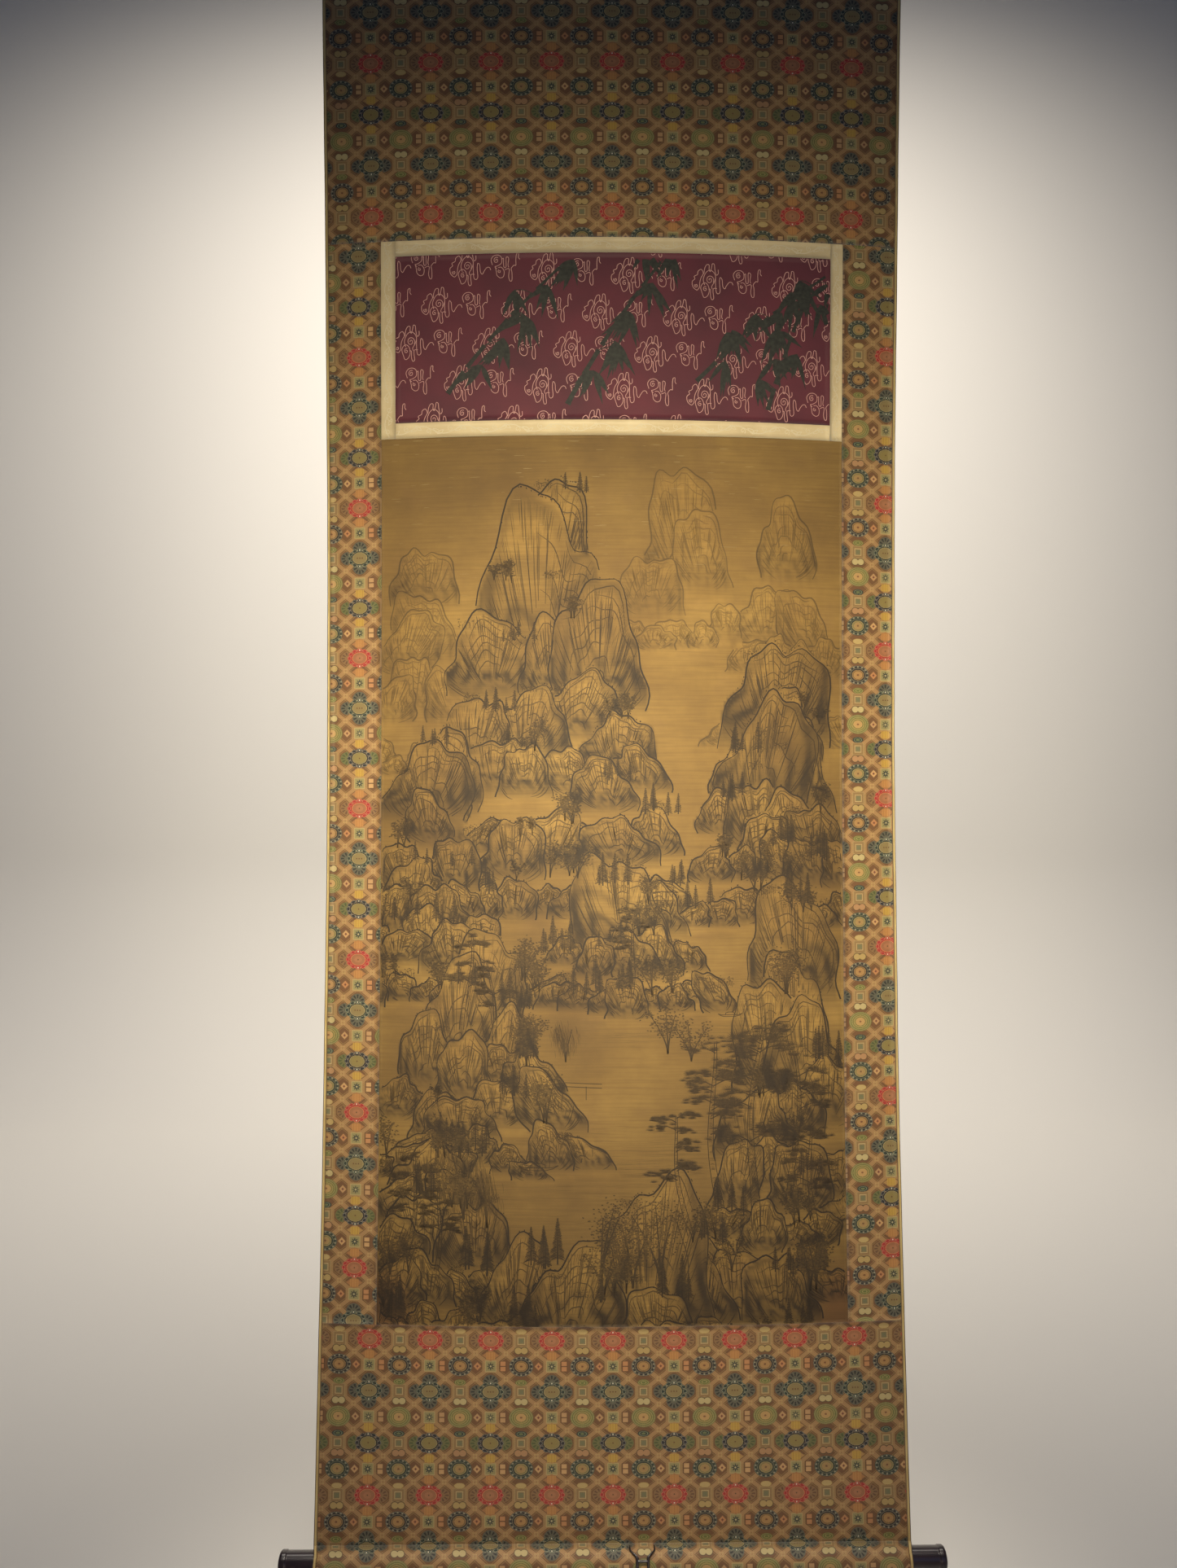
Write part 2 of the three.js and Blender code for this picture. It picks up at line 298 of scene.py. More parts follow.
def rowRamp(tree, row, share, profiles):
    # One colour ramp that holds the three rows' profiles side by side: position = (row + share) / 3
    held = addNode(tree, "Clamp", [share, 0.0, 0.995])
    counted = addNode(tree, "Math", [row, held], operation="ADD")
    position = addNode(tree, "Math", [counted, 3.0], operation="DIVIDE")
    stops = [((k + at) / 3, hexText) for k, profile in enumerate(profiles) for at, hexText in profile]
    return addNode(tree, "ValToRGB", [position], ramp=("CONSTANT", stops))


def rowColour(tree, row, colours):
    # One plain colour for each of the three rows
    position = addNode(tree, "Math", [row, 3.0], operation="DIVIDE")
    return addNode(tree, "ValToRGB", [position], ramp=("CONSTANT", list(zip((0, 0.17, 0.5), colours))))


def offsetLength(tree, place, centre, size):
    # Length of (place - centre) / size: under 1 inside an ellipse of those half sizes
    moved = addNode(tree, "VectorMath", [place, (*centre, 0)], operation="SUBTRACT")
    scaled = addNode(tree, "VectorMath", [moved, (*size, 1)], operation="DIVIDE")
    return addNode(tree, "VectorMath", [scaled], out=1, operation="LENGTH"), scaled


def boxLength(tree, place, centre, size, diamond=False):
    # Larger of |x| and |y| over the half sizes, or their sum for a diamond: under 1 inside
    moved = addNode(tree, "VectorMath", [place, (*centre, 0)], operation="SUBTRACT")
    scaled = addNode(tree, "VectorMath", [moved, (*size, 1)], operation="DIVIDE")
    bare = addNode(tree, "VectorMath", [scaled], operation="ABSOLUTE")
    parts = addNode(tree, "SeparateXYZ", [bare]).node.outputs
    return addNode(tree, "Math", [parts[0], parts[1]], operation="ADD" if diamond else "MAXIMUM")


def angleOf(tree, vector):
    # Angle of a vector from its X towards its Y, in radians
    parts = addNode(tree, "SeparateXYZ", [vector]).node.outputs
    return addNode(tree, "Math", [parts[1], parts[0]], operation="ARCTAN2")


def wave(tree, angle, count):
    # cos(count x angle): petals round a middle, or threads side by side
    turned = addNode(tree, "Math", [angle, float(count)], operation="MULTIPLY")
    return addNode(tree, "Math", [turned], operation="COSINE")


def distance(tree, value, at=0.0):
    # How far a value lies from a place, on either side of it
    gap = addNode(tree, "Math", [value, at], operation="SUBTRACT")
    return addNode(tree, "Math", [gap], operation="ABSOLUTE")


def repeated(tree, place, pitch, shift=(0, 0)):
    # Place within the nearest copy of a motif that repeats at the pitch, and that copy's number
    cell = (pitch[0], pitch[1], 1)
    moved = addNode(tree, "VectorMath", [place, (shift[0], shift[1], 0)], operation="SUBTRACT")
    share = addNode(tree, "VectorMath", [moved, cell], operation="DIVIDE")
    share = addNode(tree, "VectorMath", [share, (0.5, 0.5, 0)], operation="ADD")
    number = addNode(tree, "VectorMath", [share], operation="FLOOR")
    back = addNode(tree, "VectorMath", [number, cell], operation="MULTIPLY")
    return addNode(tree, "VectorMath", [moved, back], operation="SUBTRACT"), number


def cycleRow(tree, number):
    # Row number modulo 3, kept positive
    row = addNode(tree, "SeparateXYZ", [number]).node.outputs[1]
    lifted = addNode(tree, "Math", [row, 300.0], operation="ADD")
    return addNode(tree, "Math", [lifted, 3.0], operation="MODULO")


def brocadeCell(tree, place, pitch):
    # Where a thread lies from the nearest flower and from the nearest rosette, and their rows' numbers
    half = (pitch[0] / 2, pitch[1] / 2)
    cell = {"place": place, "pitch": pitch, "half": half}
    for name, shift in (("flower", (0, 0)), ("rosette", half)):
        at, number = repeated(tree, place, pitch, shift)
        fold = addNode(tree, "VectorMath", [at], operation="ABSOLUTE")
        x, y = addNode(tree, "SeparateXYZ", [fold]).node.outputs[:2]
        cell[name] = {"at": at, "row": cycleRow(tree, number), "fold": fold, "x": x, "y": y}
    cell["teal"] = addNode(tree, "Math", [cell["flower"]["row"], 0.0, 0.3], operation="COMPARE")
    return cell


def bandsAndGround(tree, cell):
    # Two crossing lattices of double lines with a knot at each crossing: brown cartouches lie between
    flower, rosette, halfPitch = cell["flower"], cell["rosette"], cell["half"]
    slopeX, slopeY, reach = lattice["bandSlope"]
    across = addNode(tree, "Math", [flower["x"], slopeX, -reach], operation="MULTIPLY_ADD")
    band = addNode(tree, "Math", [flower["y"], slopeY, across], operation="MULTIPLY_ADD")
    bandFold = distance(tree, band)
    length = math.hypot(*halfPitch)
    radial = addNode(tree, "Math", [flower["x"], halfPitch[1] / length], operation="MULTIPLY")
    radial = addNode(tree, "Math", [flower["y"], -halfPitch[0] / length, radial], operation="MULTIPLY_ADD")
    radialFold = distance(tree, radial)

    small = addNode(tree, "TexNoise", {"Vector": cell["place"], "Scale": 0.35, "Detail": 2.0})
    colour = lay(tree, lattice["ground"], lattice["groundPale"], small)
    nearFlower = inside(tree, (band, 0.0, 0.3), (flower["x"], 27.6, 0.3), (flower["y"], 23.6, 0.3))
    nearRosette = inside(tree, (band, 0.0, 0.3, "over"), (rosette["x"], 28.0, 0.3),
                         (rosette["y"], 25.5, 0.3))
    either = addNode(tree, "Math", [nearFlower, nearRosette], operation="MAXIMUM")
    cartouche = inside(tree, either, (radialFold, 2.9, 0.3, "over"), (bandFold, 2.4, 0.3, "over"))
    blotch = addNode(tree, "TexNoise", {"Vector": cell["place"], "Scale": 0.05, "Detail": 1.0})
    brown = lay(tree, lattice["cartouche"], lattice["cartoucheRed"], blotch)
    colour = lay(tree, colour, brown, cartouche)

    # pinkish double lines, then thin inner outlines of the cartouches
    for fold, at, wide in ((bandFold, 0.0, 0.5), (bandFold, 1.9, 0.45),
                           (radialFold, 0.0, 0.5), (radialFold, 2.0, 0.45)):
        colour = lay(tree, colour, lattice["band"], (distance(tree, fold, at), wide, 0.25))
    for fold, at in ((bandFold, 4.0), (radialFold, 4.3)):
        colour = lay(tree, colour, lattice["outline"], (distance(tree, fold, at), 0.32, 0.15), cartouche)
    knot, _ = repeated(tree, cell["place"], halfPitch, (cell["pitch"][0] / 4, cell["pitch"][1] / 4))
    knotLength, knotAt = offsetLength(tree, knot, (0, 0), (lattice["knot"],) * 2)
    petals = wave(tree, angleOf(tree, knotAt), 4)
    shape = addNode(tree, "Math", [petals, 0.3, knotLength], operation="MULTIPLY_ADD")
    colour = lay(tree, colour, lattice["bandPale"], (shape, 0.95, 0.1))
    return lay(tree, colour, "#8d6a40", (shape, 0.35, 0.1))


def smallSquares(tree, cell, colour):
    # Concentric squares beside the flowers, star squares between the rosettes
    rings, _ = repeated(tree, cell["place"], cell["pitch"], (cell["half"][0], 0))
    ringLength = boxLength(tree, rings, (0, 0), (lattice["square"],) * 2)
    for limit, hexText in ((1.75, "#9c845a"), (1.55, "#876a42"), (1.0, "#b09a70"), (0.8, "#7c6a44"),
                           (0.58, "#6c6a4c")):
        colour = lay(tree, colour, hexText, (ringLength, limit, 0.04))
    star, _ = repeated(tree, cell["place"], cell["pitch"], (0, cell["half"][1]))
    starLength = boxLength(tree, star, (0, 0), (lattice["star"],) * 2)
    for limit, hexText in ((1.0, "#ac9868"), (0.86, "#8c8358")):
        colour = lay(tree, colour, hexText, (starLength, limit, 0.04))
    rayLength, rayAt = offsetLength(tree, star, (0, 0), (4.6, 4.6))
    eight = wave(tree, angleOf(tree, rayAt), 8)
    rays = addNode(tree, "Math", [eight, -0.28, rayLength], operation="MULTIPLY_ADD")
    starColour = rowColour(tree, cell["rosette"]["row"], ("#4e4c38", "#26302a", "#30322a"))
    colour = lay(tree, colour, starColour, (rays, 0.78, 0.08))
    return lay(tree, colour, "#b9ad86", (rayLength, 0.24, 0.06))


def fan(tree, colour, flower, centre, size, upright, drops, grounds, only=1.0):
    # A half disc about centre that opens away from the flower, with five dark drops on it
    length, at = offsetLength(tree, flower["fold"], centre, size)
    parts = addNode(tree, "SeparateXYZ", [at]).node.outputs
    outward, sideways = (parts[1], parts[0]) if upright else (parts[0], parts[1])
    spread = wave(tree, addNode(tree, "Math", [sideways, outward], operation="ARCTAN2"), 10)
    opened = addNode(tree, "Math", [outward, -0.05], operation="GREATER_THAN")
    shape = inside(tree, (length, 0.98, 0.03), opened, only)
    colour = lay(tree, colour, rowColour(tree, flower["row"], grounds), shape)
    return lay(tree, colour, rowColour(tree, flower["row"], drops), shape, (spread, 0.1, 0.15, "over"),
               (length, 0.86, 0.03), (length, 0.42, 0.03, "over"))


def fansAndLotus(tree, cell, colour):
    # Fans at both sides of every flower, and above and below the teal ones; lotus above the others
    flower = cell["flower"]
    colour = fan(tree, colour, flower, (15.8, 0), (10.6, 8.8), False,
                 ("#141716", "#414c26", "#5f4028"), ("#585648", "#66653c", "#82633f"))
    colour = fan(tree, colour, flower, (0, 11.6), (10.0, 10.0), True,
                 ("#141716",) * 3, ("#585648",) * 3, cell["teal"])
    lotus = addNode(tree, "Math", [1.0, cell["teal"]], operation="SUBTRACT")
    leaves = boxLength(tree, flower["fold"], (0, 18.2), (10.8, 7.4), diamond=True)
    leafColour = rowColour(tree, flower["row"], ("#a07c48", "#a5804a", "#9c6c40"))
    colour = lay(tree, colour, leafColour, (leaves, 1.0, 0.06), lotus)
    body = boxLength(tree, flower["fold"], (0, 18.9), (5.6, 4.6))
    bodyColour = rowColour(tree, flower["row"], ("#b8943c", "#b5923e", "#b07c44"))
    colour = lay(tree, colour, bodyColour, (body, 1.0, 0.06), lotus)
    veins = wave(tree, flower["x"], 2 * math.pi / 3.6)
    return lay(tree, colour, "#8a5a28", (veins, 0.8, 0.1, "over"), (body, 1.05, 0.05), lotus, 0.45)


def flowerRounds(tree, cell, colour):
    # Petals with pale outlines round an ellipse of rings, its middle dotted
    flower = cell["flower"]
    petalTurn = 2 * math.pi / lattice["petals"]
    ringLength, ringAt = offsetLength(tree, flower["at"], (0, 0), lattice["flower"])
    sector = addNode(tree, "Math", [angleOf(tree, ringAt), 1 / petalTurn], operation="MULTIPLY")
    nearest = addNode(tree, "Math", [sector], operation="ROUND")
    sector = addNode(tree, "Math", [sector, nearest], operation="SUBTRACT")
    turn = addNode(tree, "Math", [sector, petalTurn], operation="MULTIPLY")
    sides = [addNode(tree, "Math", [addNode(tree, "Math", [turn], operation=kind), ringLength],
                     operation="MULTIPLY") for kind in ("COSINE", "SINE")]
    petalAt = addNode(tree, "CombineXYZ", [*sides, 0.0])
    petal, _ = offsetLength(tree, petalAt, (0.845, 0), (0.165, 0.235))
    colour = lay(tree, colour, rowRamp(tree, flower["row"], petal, petalRings), (petal, 1.0, 0.04))
    for side in (-1, 1):
        dot, _ = offsetLength(tree, flower["at"], (0, 10.5 * side), (1.0, 0.9))
        colour = lay(tree, colour, "#cfc8b4", (dot, 1.0, 0.15))
    rings = rowRamp(tree, flower["row"], ringLength, flowerRings)
    colour = lay(tree, colour, rings, (ringLength, 0.71, 0.012))
    for side in (-1, 0, 1):  # three dots in teal flowers, one in the others
        dot, _ = offsetLength(tree, flower["at"], (3.3 * side, 0), (0.9, 0.9))
        colour = lay(tree, colour, "#5e3a20", (dot, 1.0, 0.15), cell["teal"] if side else 1.0)
    return colour


def rosettes(tree, cell, colour):
    # Rings of an ellipse, the outer one cut into bars; small figures stand round it
    rosette = cell["rosette"]
    at, row = rosette["at"], rosette["row"]
    length, scaled = offsetLength(tree, at, (0, 0), lattice["rosette"])
    colour = lay(tree, colour, rowRamp(tree, row, length, rosetteRings), (length, 0.985, 0.012))
    bars = wave(tree, angleOf(tree, scaled), lattice["bars"])
    notOlive = addNode(tree, "Math", [row, 0.5], operation="GREATER_THAN")
    colour = lay(tree, colour, "#8a8570", (length, 0.93, 0.01), (length, 0.78, 0.01, "over"),
                 (bars, -0.35, 0.12), notOlive)

    # above: a pair of discs; below: an oval of rings
    parts = addNode(tree, "SeparateXYZ", [at]).node.outputs
    pair = addNode(tree, "CombineXYZ", [rosette["x"], parts[1], 0.0])
    disc, _ = offsetLength(tree, pair, (3.9, -19.4), (4.3, 4.0))
    colour = lay(tree, colour, "#4f3a1c", (disc, 1.22, 0.05))
    discColour = rowColour(tree, row, ("#b3a274", "#a47c56", "#a88f5a"))
    colour = lay(tree, colour, discColour, (disc, 1.0, 0.06))
    oval, _ = offsetLength(tree, at, (0, 20.3), (7.6, 3.9))
    colour = lay(tree, colour, rowRamp(tree, row, oval, ovalRings), (oval, 0.98, 0.05))

    # right: a diamond with a dot; left: two bars one above the other
    sideColour = rowColour(tree, row, ("#b08a60", "#bc9566", "#b07c50"))
    diamond = boxLength(tree, at, (21.8, 0), (4.9, 5.0), diamond=True)
    colour = lay(tree, colour, sideColour, (diamond, 1.0, 0.06))
    colour = lay(tree, colour, "#6b3420", (diamond, 0.36, 0.06))
    twoBars = addNode(tree, "CombineXYZ", [parts[0], rosette["y"], 0.0])
    bar = boxLength(tree, twoBars, (-23.0, 3.3), (3.3, 2.6))
    colour = lay(tree, colour, "#5d3a18", (bar, 1.3, 0.06))
    return lay(tree, colour, sideColour, (bar, 1.0, 0.06))


def brocadeColour(tree, place, pitch):
    # The whole repeat from its ground up; the dyes have faded towards the ground and yellowed
    cell = brocadeCell(tree, place, pitch)
    colour = bandsAndGround(tree, cell)
    for figure in (smallSquares, fansAndLotus, flowerRounds, rosettes):
        colour = figure(tree, cell, colour)
    faded = lay(tree, colour, lattice["ground"], lattice["faded"])
    return addNode(tree, "Mix", {0: 1.0, 6: faded, 7: lattice["yellowed"]}, out=2, data_type="RGBA",
                   blend_type="MULTIPLY")


def weave(tree, shader, place, colour, warpMm, weftMm, depth, shade=0.12):
    # Two crossed sine ridges at the thread spacing and slubs along the weft, as bump and as painted light
    # and
    # shade: the colour is lighter on the ridges and darker in the hollows. Real threads are 0.2 to 0.3 mm
    # apart, coarsened here so that the render shows them.
    x, y = addNode(tree, "SeparateXYZ", [place]).node.outputs[:2]
    threads = [wave(tree, x, 2 * math.pi / warpMm), wave(tree, y, 2 * math.pi / weftMm)]
    both = addNode(tree, "Math", threads, operation="MULTIPLY")
    level = addNode(tree, "VectorMath", [place, (0.05, 1.2, 1)], operation="MULTIPLY")
    slub = addNode(tree, "TexNoise", {"Vector": level, "Scale": 1.0, "Detail": 3.0})
    height = addNode(tree, "Math", [both, 0.5, slub], operation="MULTIPLY_ADD")
    # painted light and shade of the threads: ridges up to shade lighter, hollows up to shade darker
    paintedRidgeShade = addNode(tree, "MapRange", [height, 0.0, 1.1, 1 - shade, 1 + shade])
    ridgeShadedColour = addNode(tree, "VectorMath", {0: colour, "Scale": paintedRidgeShade}, operation="SCALE")
    bump = addNode(tree, "Bump", {"Strength": 0.5, "Distance": depth, "Height": height})
    tree.links.new(ridgeShadedColour, shader.inputs["Base Color"])
    tree.links.new(bump, shader.inputs["Normal"])


def brocadeMaterial(name, originMm, pitch, turned=False):
    # Silk brocade, woven with many coloured wefts: satin floats give a soft sheen, and every edge
    # of its pattern steps from thread to thread
    material, tree, shader = newMaterial(name, 0.58, sheen=0.25)
    place = clothCoordinates(tree, originMm, turned, lattice["threadStep"])
    fine = clothCoordinates(tree, originMm, turned)
    weave(tree, shader, fine, brocadeColour(tree, place, pitch), warpMm=1.1, weftMm=0.9, depth=0.0002)
    return material


# Flat cutting sizes, left to right and down from the top edge
cut = {
    "topPanel": 445 * mm,
    "borderTop": 20 * mm,
    "inscription": 215.5 * mm,
    "borderBottom": 20 * mm,
    "painting": 1133 * mm,
    "edging": 4.5 * mm,
    "strip": 70 * mm,
    "borderLeft": 19 * mm,
    "borderRight": 16.5 * mm,
}
half = hang["halfWidth"]
inner = half - cut["edging"]
pictureHalf = inner - cut["strip"]
rowBorder = cut["topPanel"]
rowInscription = rowBorder + cut["borderTop"]
rowBorderBottom = rowInscription + cut["inscription"]
rowPainting = rowBorderBottom + cut["borderBottom"]
rowBottom = rowPainting + cut["painting"]
insideLeft = -pictureHalf + cut["borderLeft"]
insideRight = pictureHalf - cut["borderRight"]


def taper(count, tip=0.25):
    # Width along a brush stroke: pressed in the middle, drawn out to its ends
    along = np.linspace(0, 1, count)
    return tip + (1 - tip) * np.sin(np.pi * along ** 0.8) ** 0.7


def smoothPath(corners, perSpan=6):
    # Rounded line through a few corners: the Catmull-Rom cubic between each two of them
    c = np.array(corners, float)
    c = np.concatenate([[2 * c[0] - c[1]], c, [2 * c[-1] - c[-2]]])
    t = np.linspace(0, 1, perSpan, endpoint=False)[None, :, None]
    a, b, d, e = (c[k:len(c) - 3 + k, None] for k in range(4))
    square, cube = 2 * a - 5 * b + 4 * d - e, 3 * b - a - 3 * d + e
    spans = 0.5 * (2 * b + (d - a) * t + square * t ** 2 + cube * t ** 3)
    return np.concatenate([spans.reshape(-1, 2), c[-2:-1]])


class Strokes:
    # Collects lines drawn on the cloth, in millimetres, with a width and a strength at each point
    def __init__(self):
        self.lines = []

    def add(self, points, width, strength=1.0):
        # One line (n, 2), or many of the same length (m, n, 2); kept with the box round them
        points = np.asarray(points, float)
        strength = np.broadcast_to(np.asarray(strength, float), points.shape[:-1]).copy()
        low, high = points.reshape(-1, 2).min(0), points.reshape(-1, 2).max(0)
        self.lines.append([points, width, strength, low, high])

    def ribbons(self, box):
        # Each line becomes a strip of quads as wide as the line, cut off at the box (x0, y0, x1, y1).
        # Also returns each point's share of the way through the drawing, 0 for the first stroke.
        points, quads, strengths, orders, start, drawn = [], [], [], [], 0, 0
        for path, width, strength, _, _ in self.lines:
            count = path.shape[-2]
            path = path.reshape(-1, count, 2)
            width = np.broadcast_to(width, path.shape[:-1])
            strength = strength.reshape(-1, count)
            along = np.gradient(path, axis=1)
            along /= np.maximum(np.linalg.norm(along, axis=-1, keepdims=True), 1e-9)
            side = np.stack([-along[..., 1], along[..., 0]], -1) * (width / 2)[..., None]
            both = np.stack([path - side, path + side], 2)
            first = start + 2 * (np.arange(path.shape[0])[:, None] * count + np.arange(count - 1)[None])
            faces = np.stack([first, first + 1, first + 3, first + 2], -1)
            x, y = path[..., 0], path[..., 1]
            kept = (x > box[0]) & (x < box[2]) & (y > box[1]) & (y < box[3]) & (strength > 0.02)
            points.append(both.reshape(-1, 2))
            strengths.append(np.repeat(strength, 2, -1).ravel())
            quads.append(faces[kept[:, 1:] & kept[:, :-1]])
            orders.append(np.repeat(drawn + np.arange(len(path)), count * 2))
            drawn += len(path)
            start += both.shape[0] * count * 2
        joined = [np.concatenate(k) for k in (points, quads, strengths, orders)]
        points, quads, strengths, orders = joined
        used, quads = np.unique(quads, return_inverse=True)
        return points[used], quads.reshape(-1, 4), strengths[used], orders[used] / drawn


strokeStack = 0.0002  # metres from the first stroke of a drawing to its last, so none share a level


def strokePiece(name, strokes, box, originDown, lift, material):
    # The strips lie lift metres in front of the cloth, the last ones drawn a hair further out
    points, quads, strength, order = strokes.ribbons(box)
    across, down = points[:, 0] * mm, points[:, 1] * mm + originDown
    place, out = sheetFrame(across, down)
    raised = place + out * (ripple(across, down) + lift + strokeStack * order)[:, None]
    piece = newMesh(name, raised, quads[:, ::-1], np.stack([across, down], -1), [material])
    return piece, points, strength


def setFloat(mesh, name, values):
    # Stores one number at each point, which a material reads by that name
    attribute = mesh.attributes.new(name, "FLOAT", "POINT")
    attribute.data.foreach_set("value", np.asarray(values, np.float32))


# Cloud silk: pale outlined clouds with curls and streaks, on a slanting lattice
cloud = {
    "acrossStep": (104, 6),  # mm from one large cloud to the next in its row
    "downStep": (-37, 47.5),
    "start": (-194.6, 482.3),
    "secondCloud": (50, -4),
    "size": 0.84,
    "lineWidth": 0.72,
    "lift": 0.00004,
}


def curl(x, y, size, turns, begin):
    # Spiral that opens from its middle, a little taller than wide: radius = size t,
    # angle = begin + turns 2 pi t
    t = np.linspace(0.12, 1, int(14 * turns))
    angle = begin + turns * 2 * np.pi * t
    return np.stack([x + size * t * np.cos(angle), y + 1.15 * size * t * np.sin(angle)], -1)


def largeCloud():
    # Nine lines: three spirals and the lobes and streaks that enclose them, in millimetres
    return [
        curl(9, 4, 6.5, 1.9, 1.2),
        smoothPath([(1, 12), (-1, 3), (3, -7), (9, -11), (15, -8), (18, -1), (16, 7), (12, 14), (13, 18)]),
        curl(2, 18, 3.6, 1.5, 2.0),
        smoothPath([(-3, 24), (-5, 16), (-2, 10), (3, 9), (7, 14), (8, 22), (5, 29), (0, 31), (-3, 24)]),
        curl(-12, 13, 2.9, 1.5, 0.5),
        smoothPath([(-7, 16), (-11, 20), (-17, 15), (-18, 7), (-14, 3), (-15, -1), (-10, -4), (-9, -9),
                    (-4, -12), (-1, -6), (-4, 0), (-6, 6), (-7, 16)]),
        smoothPath([(0, -5), (1, -13), (4, -19), (8, -19), (8, -12), (10, -9), (12, -16), (13, -21),
                    (16, -20), (17, -12), (19, -4), (22, -6), (22, -12)]),
        smoothPath([(18, -3), (18, 10), (19, 22), (22, 25), (25, 21), (24, 8), (25, 0), (28, 3),
                    (29, 13), (32, 17), (35, 12), (39, 7), (43, 7), (45, 11)]),
        smoothPath([(7, 18), (10, 19), (10, 28), (12, 34), (15, 32), (14, 22), (15, 17), (20, 17)]),
    ]


def smallCloud():
    # Six lines of the same kind
    return [
        curl(-6, -5, 4.4, 1.7, 0.9),
        smoothPath([(-12, 2), (-14, -6), (-10, -12), (-3, -13), (2, -9), (2, -1), (-3, 3), (-8, 5),
                    (-5, 8)]),
        curl(-1, 12, 2.6, 1.3, 2.4),
        smoothPath([(-8, 4), (-6, 12), (-5, 18), (0, 22), (5, 20), (6, 12), (2, 6), (-3, 6)]),
        smoothPath([(2, -6), (5, -8), (5, 0), (6, 6), (9, 5), (9, -8), (11, -10), (13, -7), (12, 2),
                    (13, 6)]),
        smoothPath([(7, 10), (12, 8), (14, 10), (13, 20), (15, 27), (18, 26), (18, 14), (17, 8),
                    (21, 3), (24, 3), (24, -6), (25, -14), (28, -15), (28, -9), (30, -6)]),
    ]


def cloudFigure(material):
    # A large and a small cloud at every place of the lattice that lies on the panel
    strokes = Strokes()
    edges = [insideLeft / mm, rowInscription / mm, insideRight / mm, rowBorderBottom / mm]
    places = np.array([[(1, column, row) for column in range(-1, 8)] for row in range(-2, 7)])
    places = places.reshape(-1, 3) @ np.array([cloud["start"], cloud["acrossStep"], cloud["downStep"]])
    for place in places[np.abs(places[:, 0]) <= (insideRight - insideLeft) / mm]:
        for line in largeCloud():
            strokes.add(cloud["size"] * line + place - [0, 5], cloud["lineWidth"] * np.ones(len(line)))
        for line in smallCloud():
            shifted = cloud["size"] * line + place + cloud["secondCloud"]
            strokes.add(shifted, cloud["lineWidth"] * np.ones(len(line)))
    box = np.array(edges) + [0.5, 0.5, -0.5, -0.5]
    piece, _, _ = strokePiece("cloudFigure", strokes, box, 0.0, cloud["lift"], material)
    return piece


# Four sprays of bamboo, a plain brush drawing across the panel's middle
bamboo = {
    "seed": 5,
    "canes": [
        # foot across and down from the middle, length, lean, girth, all in mm but the lean
        (-215, 75, 165, 0.9, 6.0),
        (-60, 92, 190, 0.65, 6.5),
        (105, 60, 150, 1.2, 5.6),
        (200, 95, 170, 0.35, 6.0),
    ],
    "joints": 5,
    "leafLength": (26, 46),
    "leafWidth": (5.5, 8.5),
    "margin": (4, 8),  # bare edge of the panel, across and down
}


def bambooSpray(material):
    # Jointed canes that thin upwards, and at each joint twigs with bunches of pointed leaves.
    # A leaf's width = widest sin(pi u^0.75)^1.3 along its length.
    rng = np.random.default_rng(bamboo["seed"])
    strokes = Strokes()
    middle = (rowInscription + rowBorderBottom) / 2 / mm
    joints = bamboo["joints"]
    for x, y, length, lean, girth in bamboo["canes"]:
        for k in range(joints):
            t = np.linspace(k / joints + 0.02, (k + 1) / joints - 0.012, 8)
            cane = np.stack([x + length * lean * t * (0.8 + 0.2 * t), middle + y - length * t], -1)
            strokes.add(cane, girth * (1 - 0.45 * t) * (1 + 0.25 * np.linspace(-1, 1, 8) ** 4), 0.9)
            at = cane[-1]
            for _ in range(2 if k else 1):
                side = rng.choice([-1, 1])
                twig = rng.uniform(10, 26)
                start = at + [side * twig, -rng.uniform(2, 14)]
                strokes.add(smoothPath([at, (at + start) / 2 + [0, -2], start]), 1.0, 0.9)
                for _ in range(int(rng.integers(4, 7))):
                    angle = np.pi / 2 + side * rng.uniform(-1.1, 0.7)
                    reach = rng.uniform(*bamboo["leafLength"])
                    u = np.linspace(0, 1, 10)
                    falls = reach * u * np.sin(angle) + 3 * u ** 2
                    path = start + np.stack([-reach * u * np.cos(angle), falls], -1)
                    width = 0.3 + rng.uniform(*bamboo["leafWidth"]) * np.sin(np.pi * u ** 0.75) ** 1.3
                    strokes.add(path, width, rng.uniform(0.75, 1.0))
    aside, above = bamboo["margin"]
    box = (insideLeft / mm + aside, rowInscription / mm + above,
           insideRight / mm - aside, rowBorderBottom / mm - above)
    piece, _, strength = strokePiece("bambooDrawing", strokes, box, 0.0, 2 * cloud["lift"] + strokeStack,
                                     material)
    setFloat(piece.data, "wash", strength)
    return piece


# Damask borders: a winding stem with leaves, woven in a paler satin
vine = {"period": 58, "swing": 4.6, "lineWidth": 0.9, "lift": 0.00004}


def vineStrokes(strokes, start, end, middle, upright):
    # Stem = swing sin(2 pi s / period) about the strip's middle, with a curl and two leaves at each bend
    rng = np.random.default_rng(int(abs(middle) + start) % 97)
    swing, half = vine["swing"], vine["period"] / 2
    s = np.linspace(start, end, int((end - start) / 2.2))
    lines = [np.stack([s, middle + swing * np.sin(np.pi * s / half)], -1)]
    for k in range(int((end - start) / half) + 1):
        at = start + k * half + half / 2
        side = -1 if k % 2 else 1
        lines.append(curl(at, middle - side * swing * 0.35, 3.6, 1.4, 1.6 * side))
        for leaf in (((-9, 0), (-12, 4), (-17, 5), (-14, 1), (-9, 0)),
                     ((6, 2), (10, -3), (15, -5), (13, 0), (6, 2))):
            lines.append(smoothPath([(at + x, middle + side * y) for x, y in leaf]))
    for line in lines:
        line = line[:, ::-1] if upright else line
        strokes.add(line, vine["lineWidth"] * rng.uniform(0.8, 1.2) * np.ones(len(line)))


